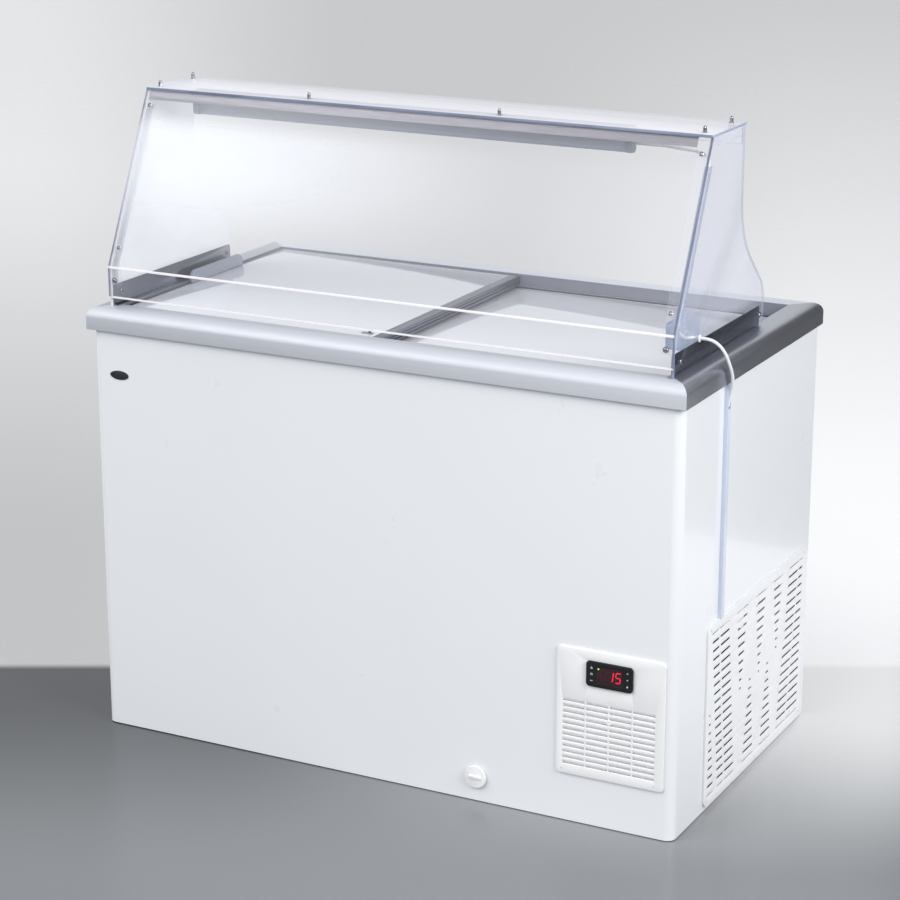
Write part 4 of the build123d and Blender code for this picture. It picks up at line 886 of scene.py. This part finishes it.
def lead_curve():
    """Loose stretch of the lead as one smooth curve."""
    curve = bpy.data.curves.new("lamp_lead_loose", "CURVE")
    curve.dimensions = "3D"
    spline = curve.splines.new("NURBS")
    spline.points.add(len(LEAD_ROUTE) - 1)
    for point, place in zip(spline.points, LEAD_ROUTE):
        point.co = (*place, 1)
    spline.order_u = 3
    spline.use_endpoint_u = True
    spline.resolution_u = 10
    curve.bevel_depth = LEAD_DIAMETER / 2
    curve.bevel_resolution = 5
    curve.use_fill_caps = True
    curve.materials.append(material("lead"))
    return curve


def strain_relief():
    """Grommet in the side panel: flange, groove and a tapered collar round the lead, turned about X."""
    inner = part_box("guard_side_right")[0].x
    low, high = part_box("lead_grommet")
    centre = (low + high) / 2
    bore, flange = LEAD_DIAMETER / 2, (high.z - low.z) / 2
    neck = bore + 2 * MM
    profile = [(inner, bore), (inner, neck), (high.x - 2 * MM, neck), (high.x - 2 * MM, flange),
               (high.x - 0.8 * MM, flange), (high.x - 0.2 * MM, flange * 0.8), (high.x, bore + 0.8 * MM),
               (high.x, bore)]
    mesh = bmesh.new()
    steps = 36
    turns = [2 * math.pi * i / steps for i in range(steps)]
    rings = [[mesh.verts.new((x, centre.y + r * math.cos(turn), centre.z + r * math.sin(turn)))
              for x, r in profile] for turn in turns]
    for i, here in enumerate(rings):
        after = rings[(i + 1) % steps]
        for j in range(len(profile)):
            k = (j + 1) % len(profile)
            mesh.faces.new((here[j], here[k], after[k], after[j]))
    bmesh.ops.recalc_face_normals(mesh, faces=mesh.faces)
    return mesh


class CABINET_OT_lamp(bpy.types.Operator):
    """Lamp under the shelf: housing, lens, lit strip and end caps"""

    bl_idname = "cabinet.lamp"
    bl_label = "Lamp"

    def execute(self, context):
        soften("light_housing", 0.8, "lamp_body")
        soften("light_diffuser", 0.5, "lamp_lens")
        soften("light_end_caps", 0.9, "lamp_body")
        low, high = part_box("light_diffuser")
        middle, top = (low.y + high.y) / 2, high.z - 1 * MM
        half, thick, end_gap = 2.5 * MM, 3 * MM, 3 * MM
        near = (low.x + end_gap, middle - half, top - thick)
        strip = box_mesh(near, (high.x - end_gap, middle + half, top))
        held("lamp_lit_strip", strip, "cabinet", ["lamp_strip"])
        return {"FINISHED"}


class CABINET_OT_lead(bpy.types.Operator):
    """Lamp lead: inside run, grommet, loose stretch over the rim and its duct"""

    bl_idname = "cabinet.lead"
    bl_label = "Lamp lead"

    def execute(self, context):
        soften("light_lead", 0.05, "lead")
        soften("cord_trunking", 0.3, "duct")
        relief = held("lead_strain_relief", strain_relief(), "cabinet", ["lead"],
                      ["lead_grommet"])
        lead = linked("lamp_lead_loose", lead_curve())
        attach(lead, "cabinet")
        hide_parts("light_cord")
        return {"FINISHED"}


# ------------------------------------------------------------------ controls
SEGMENTS = {  # ends of each bar of a digit, in half widths and half heights
    "a": ((-1, 1), (1, 1)), "b": ((1, 1), (1, 0)), "c": ((1, 0), (1, -1)), "d": ((-1, -1), (1, -1)),
    "e": ((-1, 0), (-1, -1)), "f": ((-1, 1), (-1, 0)), "g": ((-1, 0), (1, 0)),
}
LIT = {"1": "bc", "5": "acdfg"}
DIGIT_HALF_HEIGHT = 0.31  # in heights of the window, as is the width
DIGIT_HALF_WIDTH = 0.15
DIGIT_BAR = 2.2 * MM
DIGIT_GAP = 5.5 * MM
DIGIT_MARGIN = 9 * MM  # from the window's right edge to the middle of the last digit
DIGIT_LEAN = 0.12  # radians
SIGN_RISE = 0.06 * MM  # printed signs above the face of a key
SIGN_DEPTH = 0.4 * MM
FORWARDS = (0, -1, 0)


def digit_bar(start, end, centre, mesh):
    """One bar of a digit: a flat hexagon between two points of the display's plane."""
    along = (end - start).normalized()
    across = Vector((-along.y, along.x)) * DIGIT_BAR / 2
    start, end = start + along * DIGIT_BAR * 0.6, end - along * DIGIT_BAR * 0.6
    tip = along * DIGIT_BAR / 2
    corners = [start - tip, start + across, end + across, end + tip, end - across, start - across]
    outline = [centre + Vector((p.x + p.y * math.tan(DIGIT_LEAN), 0, p.y)) for p in corners]
    slab(outline, FORWARDS, 0.3 * MM, mesh)


def display(text, lit):
    """Bars of the digits that are lit, or of those that are not."""
    low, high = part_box("display_window")
    front = high.y - (0.65 if lit else 0.4) * MM
    height, width = (high.z - low.z) * DIGIT_HALF_HEIGHT, (high.z - low.z) * DIGIT_HALF_WIDTH
    centre_z = (low.z + high.z) / 2
    mesh = bmesh.new()
    for i, figure in enumerate(reversed(text)):
        centre_x = high.x - DIGIT_MARGIN - i * (2 * width + DIGIT_GAP)
        for name, (start, end) in SEGMENTS.items():
            if (name in LIT.get(figure, "")) == lit:
                points = [Vector((x * width, z * height)) for x, z in (start, end)]
                digit_bar(*points, Vector((centre_x, front, centre_z)), mesh)
    return mesh


def disc_outline(centre, radius, steps=20):
    return [centre + Vector((math.cos(t) * radius, 0, math.sin(t) * radius))
            for t in (2 * math.pi * i / steps for i in range(steps))]


def key_mark(node):
    """Printed sign on a key: an arrow up, an arrow down or a disc with a bar."""
    low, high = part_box(node)
    centre = Vector(((low.x + high.x) / 2, low.y - SIGN_RISE, (low.z + high.z) / 2))
    size = (high.x - low.x) * 0.26
    if node == "key_power":
        mesh = slab(disc_outline(centre, size), FORWARDS, SIGN_DEPTH)
        corners = ((-0.2, 0.3), (0.2, 0.3), (0.2, 1.5), (-0.2, 1.5))
        outline = [centre + Vector((x * size, -SIGN_RISE / 2, z * size)) for x, z in corners]
        return slab(outline, FORWARDS, SIGN_DEPTH, mesh)
    way = 1 if node == "key_up" else -1
    corners = ((-1.1, -0.6), (1.1, -0.6), (0, 0.9))
    outline = [centre + Vector((x * size, 0, z * size * way)) for x, z in corners]
    return slab(outline, FORWARDS, SIGN_DEPTH)


def panel_slots():
    """Centre and width of each louvre slot, read from the panel's own inner faces."""
    mesh = merged("control_panel")
    low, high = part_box("control_panel")
    border, longest = 5 * MM, 60 * MM  # a slot lies inside the border and is shorter than this
    ledges = {}
    for face in mesh.faces:
        centre = face.calc_center_median()
        across = max(v.co.x for v in face.verts) - min(v.co.x for v in face.verts)
        inside = low.z + border < centre.z < high.z - border
        if face.normal.z > 0.99 and inside and across < longest:
            ledges[(round(centre.x, 4), round(centre.z, 4))] = across
    mesh.free()
    return [(x, z, across) for (x, z), across in sorted(ledges.items())]


class CABINET_OT_controls(bpy.types.Operator):
    """Control panel: bezel, louvres, thermostat face, digits and keys"""

    bl_idname = "cabinet.controls"
    bl_label = "Control panel"

    def execute(self, context):
        soften("control_panel", 0.35, "bezel", whole_faces=False)
        self.louvres(context.scene.cabinet_sizes)
        self.boss()
        soften("controller_case", 0.8, "meter_black")
        soften("display_window", 0.1, "meter_window")
        held("digits_lit", display("15", True), "cabinet", ["digit_lit"])
        held("digits_unlit", display("815", False), "cabinet", ["digit_dark"])
        for node in ("key_up", "key_down", "key_power"):
            soften(node, 0.5, "key_black")
            held(node + "_mark", key_mark(node), BODY_OF[node], ["meter_mark"])
        self.face_marks()
        return {"FINISHED"}

    def louvres(self, sizes):
        """A slanted blade in the lower part of each slot, just behind the panel's middle."""
        slots = panel_slots()
        low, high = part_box("control_panel")
        blade_y, blade_rise = (low.y + high.y) / 2 + 1.2 * MM, 2.4 * MM
        places = [(Vector((x, blade_y, z + blade_rise)), Vector((0, 0, 1))) for x, z, _ in slots]
        width = max(across for _, _, across in slots)
        blades = louvre_blades(places, width, sizes.blade_depth, sizes.blade_lean)
        held("louvre_blades", blades, "cabinet", [])

    def boss(self):
        """Small round boss between the louvres and the thermostat."""
        low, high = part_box("control_panel")
        radius, height, proud, off_middle = 5.2 * MM, 116 * MM, 0.4 * MM, 2 * MM
        centre = Vector(((low.x + high.x) / 2 - off_middle, low.y - proud, low.z + height))
        mesh = slab(disc_outline(centre, radius, 28), FORWARDS, 3 * MM)
        mesh = rounded(mesh, 0.4 * MM, ["bezel"], segments=2)
        held("panel_boss", mesh, "cabinet", [])

    def face_marks(self):
        """Green running light, and signs left of the display: three dots, three bars and a dash."""
        low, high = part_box("controller_case")
        window_low, window_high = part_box("display_window")
        spot = Vector((window_low.x + 4.5 * MM, window_low.y - 0.1 * MM, window_high.z - 4 * MM))
        light = slab(disc_outline(spot, 1.3 * MM), FORWARDS, 0.5 * MM)
        held("running_light", light, "cabinet", ["led_green"])
        mesh = bmesh.new()
        x = (low.x + window_low.x) / 2 + 1 * MM
        dots, bars, dash = [Vector((x, low.y - 0.15 * MM, low.z + share * (high.z - low.z)))
                            for share in (0.74, 0.5, 0.24)]
        for dx, dz in ((0, 1.6), (-1.2, -0.6), (1.2, -0.6)):
            slab(disc_outline(dots + Vector((dx, 0, dz)) * MM, 1.1 * MM, 14), FORWARDS, SIGN_DEPTH, mesh)
        for dx in (-1.8, 0, 1.8):
            middle = bars + Vector((dx, 0, 0)) * MM
            box_mesh(middle - Vector((0.5, 0, 2)) * MM, middle + Vector((0.5, 0.4, 2)) * MM, mesh)
        box_mesh(dash - Vector((2.6, 0, 0.6)) * MM, dash + Vector((2.6, 0.4, 0.6)) * MM, mesh)
        held("meter_signs", mesh, "cabinet", ["meter_mark"])


class CABINET_OT_grille(bpy.types.Operator):
    """Side vent grille, badge and drain"""

    bl_idname = "cabinet.grille"
    bl_label = "Grille, badge and drain"

    def execute(self, context):
        grille = merged("side_grille", whole_faces=False)
        low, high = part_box("side_grille")
        rim = 9 * MM
        skin = context.scene.cabinet_sizes.grille_skin
        for vert in grille.verts:
            inside = low.y + rim < vert.co.y < high.y - rim and low.z + rim < vert.co.z < high.z - rim
            if inside and vert.co.x < low.x + MM:
                vert.co.x = high.x - skin
        grille = rounded(grille, 0.25 * MM, ["grille"])
        held("side_grille_moulded", grille, "cabinet", [], ["side_grille"])
        for node, width, finish in (("front_badge", 0.35, "badge"), ("drain_collar", 0.5, "bezel"),
                                    ("drain_cap", 0.9, "bezel")):
            soften(node, width, finish)
        keep("drain_tube", "bezel")
        return {"FINISHED"}


class CABINET_OT_insides(bpy.types.Operator):
    """Tank, insulation and machinery"""

    bl_idname = "cabinet.insides"
    bl_label = "Tank and machinery"

    def execute(self, context):
        finishes = {
            "inner_liner": "tank", "storage_rack": "rack", "foam_insulation": "foam",
            "evaporator_coil": "copper", "compressor": "pot_black", "compressor_mounts": "rubber",
            # The condenser and fan shroud are near black: partly their black paint, partly painted shade
            # inside the bay.
            "condenser": "fins", "fan_shroud": "fins", "fan_rotor": "key_black",
            "fan_motor": "pot_black", "refrigerant_pipes": "copper", "power_gland": "key_black",
        }
        for node, finish in finishes.items():
            keep(node, finish)
        return {"FINISHED"}


# ------------------------------------------------------------------ stage
def aimed(obj, target):
    obj.rotation_euler = (Vector(target) - obj.location).to_track_quat("-Z", "Y").to_euler()


def soft_light(name, place, target, size, power):
    data = bpy.data.lights.new(name, "AREA")
    data.shape = "RECTANGLE"
    data.size, data.size_y = size
    data.energy = power
    light = linked(name, data)
    light.location = place
    aimed(light, target)
    light.visible_camera = False


FLAG_LOW, FLAG_HIGH, FLAG_Y = Vector((0.55, 0, 0.02)), Vector((3.6, 0, 2.6)), 1.25


def dark_flag():
    """Black board behind the right end, for reflections alone: it darkens the rim and bracket there."""
    data = bpy.data.meshes.new("dark_flag")
    corners = [(FLAG_LOW.x, FLAG_Y, FLAG_LOW.z), (FLAG_HIGH.x, FLAG_Y, FLAG_LOW.z),
               (FLAG_HIGH.x, FLAG_Y, FLAG_HIGH.z), (FLAG_LOW.x, FLAG_Y, FLAG_HIGH.z)]
    data.from_pydata(corners, [], [(0, 1, 2, 3)])
    data.materials.append(Finish("flag", (0.02, 0.02, 0.025), 0.9).material)
    flag = linked("dark_flag", data)
    for kind in ("camera", "diffuse", "shadow", "transmission"):
        setattr(flag, "visible_" + kind, False)
    return flag


def studio_floor(turn, stage):
    """Wide floor, turned to face the camera."""
    mesh = bmesh.new()
    reach = 30  # metres from the middle to each edge
    bmesh.ops.create_grid(mesh, x_segments=1, y_segments=1, size=reach)
    data = bpy.data.meshes.new("floor")
    mesh.to_mesh(data)
    mesh.free()
    data.materials.append(floor_finish("floor", stage))
    floor = linked("floor", data)
    floor.rotation_euler = (0, 0, turn)
    return floor


class CABINET_OT_stage(bpy.types.Operator):
    """Floor, studio light and camera"""

    bl_idname = "cabinet.stage"
    bl_label = "Stage"

    def execute(self, context):
        stage = context.scene.cabinet_stage
        context.scene.view_settings.view_transform = "Standard"
        self.camera(context.scene, stage)
        studio_floor(math.radians(stage.azimuth), stage)
        dark_flag()
        self.lights(context.scene, stage)
        return {"FINISHED"}

    def camera(self, scene, stage):
        turn, lift = math.radians(stage.azimuth), math.radians(stage.elevation)
        back = Vector((math.sin(turn) * math.cos(lift), -math.cos(turn) * math.cos(lift), math.sin(lift)))
        right = Vector((math.cos(turn), math.sin(turn), 0))
        data = bpy.data.cameras.new("camera")
        data.lens = stage.lens
        camera = linked("camera", data)
        aim = Vector((0, 0, stage.aim_height)) - right * stage.aim_left
        camera.location = aim + back * stage.distance
        camera.rotation_euler = (-back).to_track_quat("-Z", "Y").to_euler()
        scene.camera = camera

    def lights(self, scene, stage):
        """Broad key light, two soft boxes and even light from all round."""
        data = bpy.data.lights.new("sky_panel", "SUN")
        data.energy = stage.sun_strength
        data.angle = math.radians(50)
        sun = linked("sky_panel", data)
        sun.location = (-2, -3, 4)
        aimed(sun, (0, 0, 0.4))
        sun.visible_glossy = False
        soft_light("front_box", (-2.2, -2.6, 2.6), (0, 0, 0.6), (4.0, 3.0), stage.front_power)
        soft_light("side_box", (3.2, -1.2, 2.2), (0.6, 0, 0.4), (1.6, 1.6), stage.side_power)
        scene.world = bpy.data.worlds.new("studio")
        scene.world.use_nodes = True
        walls = next(n for n in scene.world.node_tree.nodes if n.type == "BACKGROUND")
        walls.inputs["Color"].default_value = (*stage.sky_colour, 1)
        walls.inputs["Strength"].default_value = stage.sky_strength


# ------------------------------------------------------------------ settings and panel
def tone(name, description, default):
    return FloatVectorProperty(name=name, description=description, default=default, subtype="COLOR", size=3)


def length(name, description, default):
    kind = {"subtype": "DISTANCE", "unit": "LENGTH"}
    return FloatProperty(name=name, description=description, default=default, **kind)


def number(name, description, default):
    return FloatProperty(name=name, description=description, default=default)


class CabinetTones(bpy.types.PropertyGroup):
    enamel: tone("Enamel", "Body paint", (0.79, 0.81, 0.84))
    rim: tone("Rim", "Anodised rim", (0.68, 0.705, 0.765))
    pane: tone("Lid glass", "Coated lid glass", (0.87, 0.89, 0.95))


class CabinetSizes(bpy.types.PropertyGroup):
    bend_radius: length("Bend radius", "Outer radius of the bent front", 0.011)
    screw_radius: length("Guard screw", "Radius of a domed screw head", 0.0044)
    nut_radius: length("Cap nut", "Radius over the corners of a cap nut", 0.0038)
    panel_screw_radius: length("Panel screw", "Radius of a cross screw's head", 0.0032)
    blade_depth: length("Louvre blade", "Depth of a louvre blade", 0.0074)
    grille_skin: length("Grille skin", "Thickness of the grille inside its rim", 0.0016)
    blade_lean: number("Louvre lean", "Slant of the louvre blades, in radians", math.radians(38))


class CabinetStage(bpy.types.PropertyGroup):
    azimuth: number("Azimuth", "Camera round the cabinet, in degrees", 27.427)
    elevation: number("Elevation", "Camera above the horizon, in degrees", 16.881)
    distance: length("Distance", "Camera from its target", 5.0338)
    aim_height: length("Aim height", "Height of the camera's target", 0.5688)
    aim_left: length("Aim left", "Target moved to the camera's left", 0.0122)
    lens: number("Lens", "Focal length in millimetres", 102.15)
    floor_front: tone("Floor", "Floor in front of the cabinet", (0.185, 0.195, 0.205))
    # painted shade and a painted pool of light on the floor behind the cabinet
    floor_shade: tone("Floor, dark side", "Floor at the left rear", (0.058, 0.063, 0.068))
    floor_light_pool: tone("Floor, lit side", "Floor at the right rear", (0.82, 0.825, 0.83))
    floor_line: length("Tone line", "Where the backdrop starts, behind the middle", 0.27)
    sun_strength: number("Sky panel", "Strength of the broad key light", 1.29)
    front_power: number("Front box", "Power of the front light, in watts", 47)
    side_power: number("Side box", "Power of the side light, in watts", 92)
    sky_colour: tone("Surround", "Tone of the studio walls", (0.90, 0.91, 0.93))
    sky_strength: number("Surround strength", "Light from the studio walls", 0.69)


class CABINET_PT_build(bpy.types.Panel):
    """Buttons for each part of the cabinet, and its settings"""

    bl_idname = "CABINET_PT_build"
    bl_label = "Dipping cabinet"
    bl_space_type = "VIEW_3D"
    bl_region_type = "UI"
    bl_category = "Cabinet"

    def draw(self, context):
        for operator in OPERATORS:
            self.layout.operator(operator.bl_idname)
        for group, kind in SETTINGS.items():
            for name in kind.__annotations__:
                self.layout.prop(getattr(context.scene, group), name)


OPERATORS = (
    CABINET_OT_stage, CABINET_OT_lead, CABINET_OT_body, CABINET_OT_rim, CABINET_OT_lids, CABINET_OT_guard,
    CABINET_OT_fasteners, CABINET_OT_lamp, CABINET_OT_controls, CABINET_OT_grille, CABINET_OT_insides,
)
SETTINGS = {"cabinet_tones": CabinetTones, "cabinet_sizes": CabinetSizes, "cabinet_stage": CabinetStage}


def register():
    for kind in (*SETTINGS.values(), *OPERATORS, CABINET_PT_build):
        bpy.utils.register_class(kind)
    for name, kind in SETTINGS.items():
        setattr(bpy.types.Scene, name, PointerProperty(type=kind))


def unregister():
    for name in SETTINGS:
        delattr(bpy.types.Scene, name)
    for kind in (CABINET_PT_build, *OPERATORS, *SETTINGS.values()):
        bpy.utils.unregister_class(kind)


def main():
    register()
    for operator in OPERATORS:
        family, name = operator.bl_idname.split(".")
        getattr(getattr(bpy.ops, family), name)()


if __name__ == "__main__":
    main()
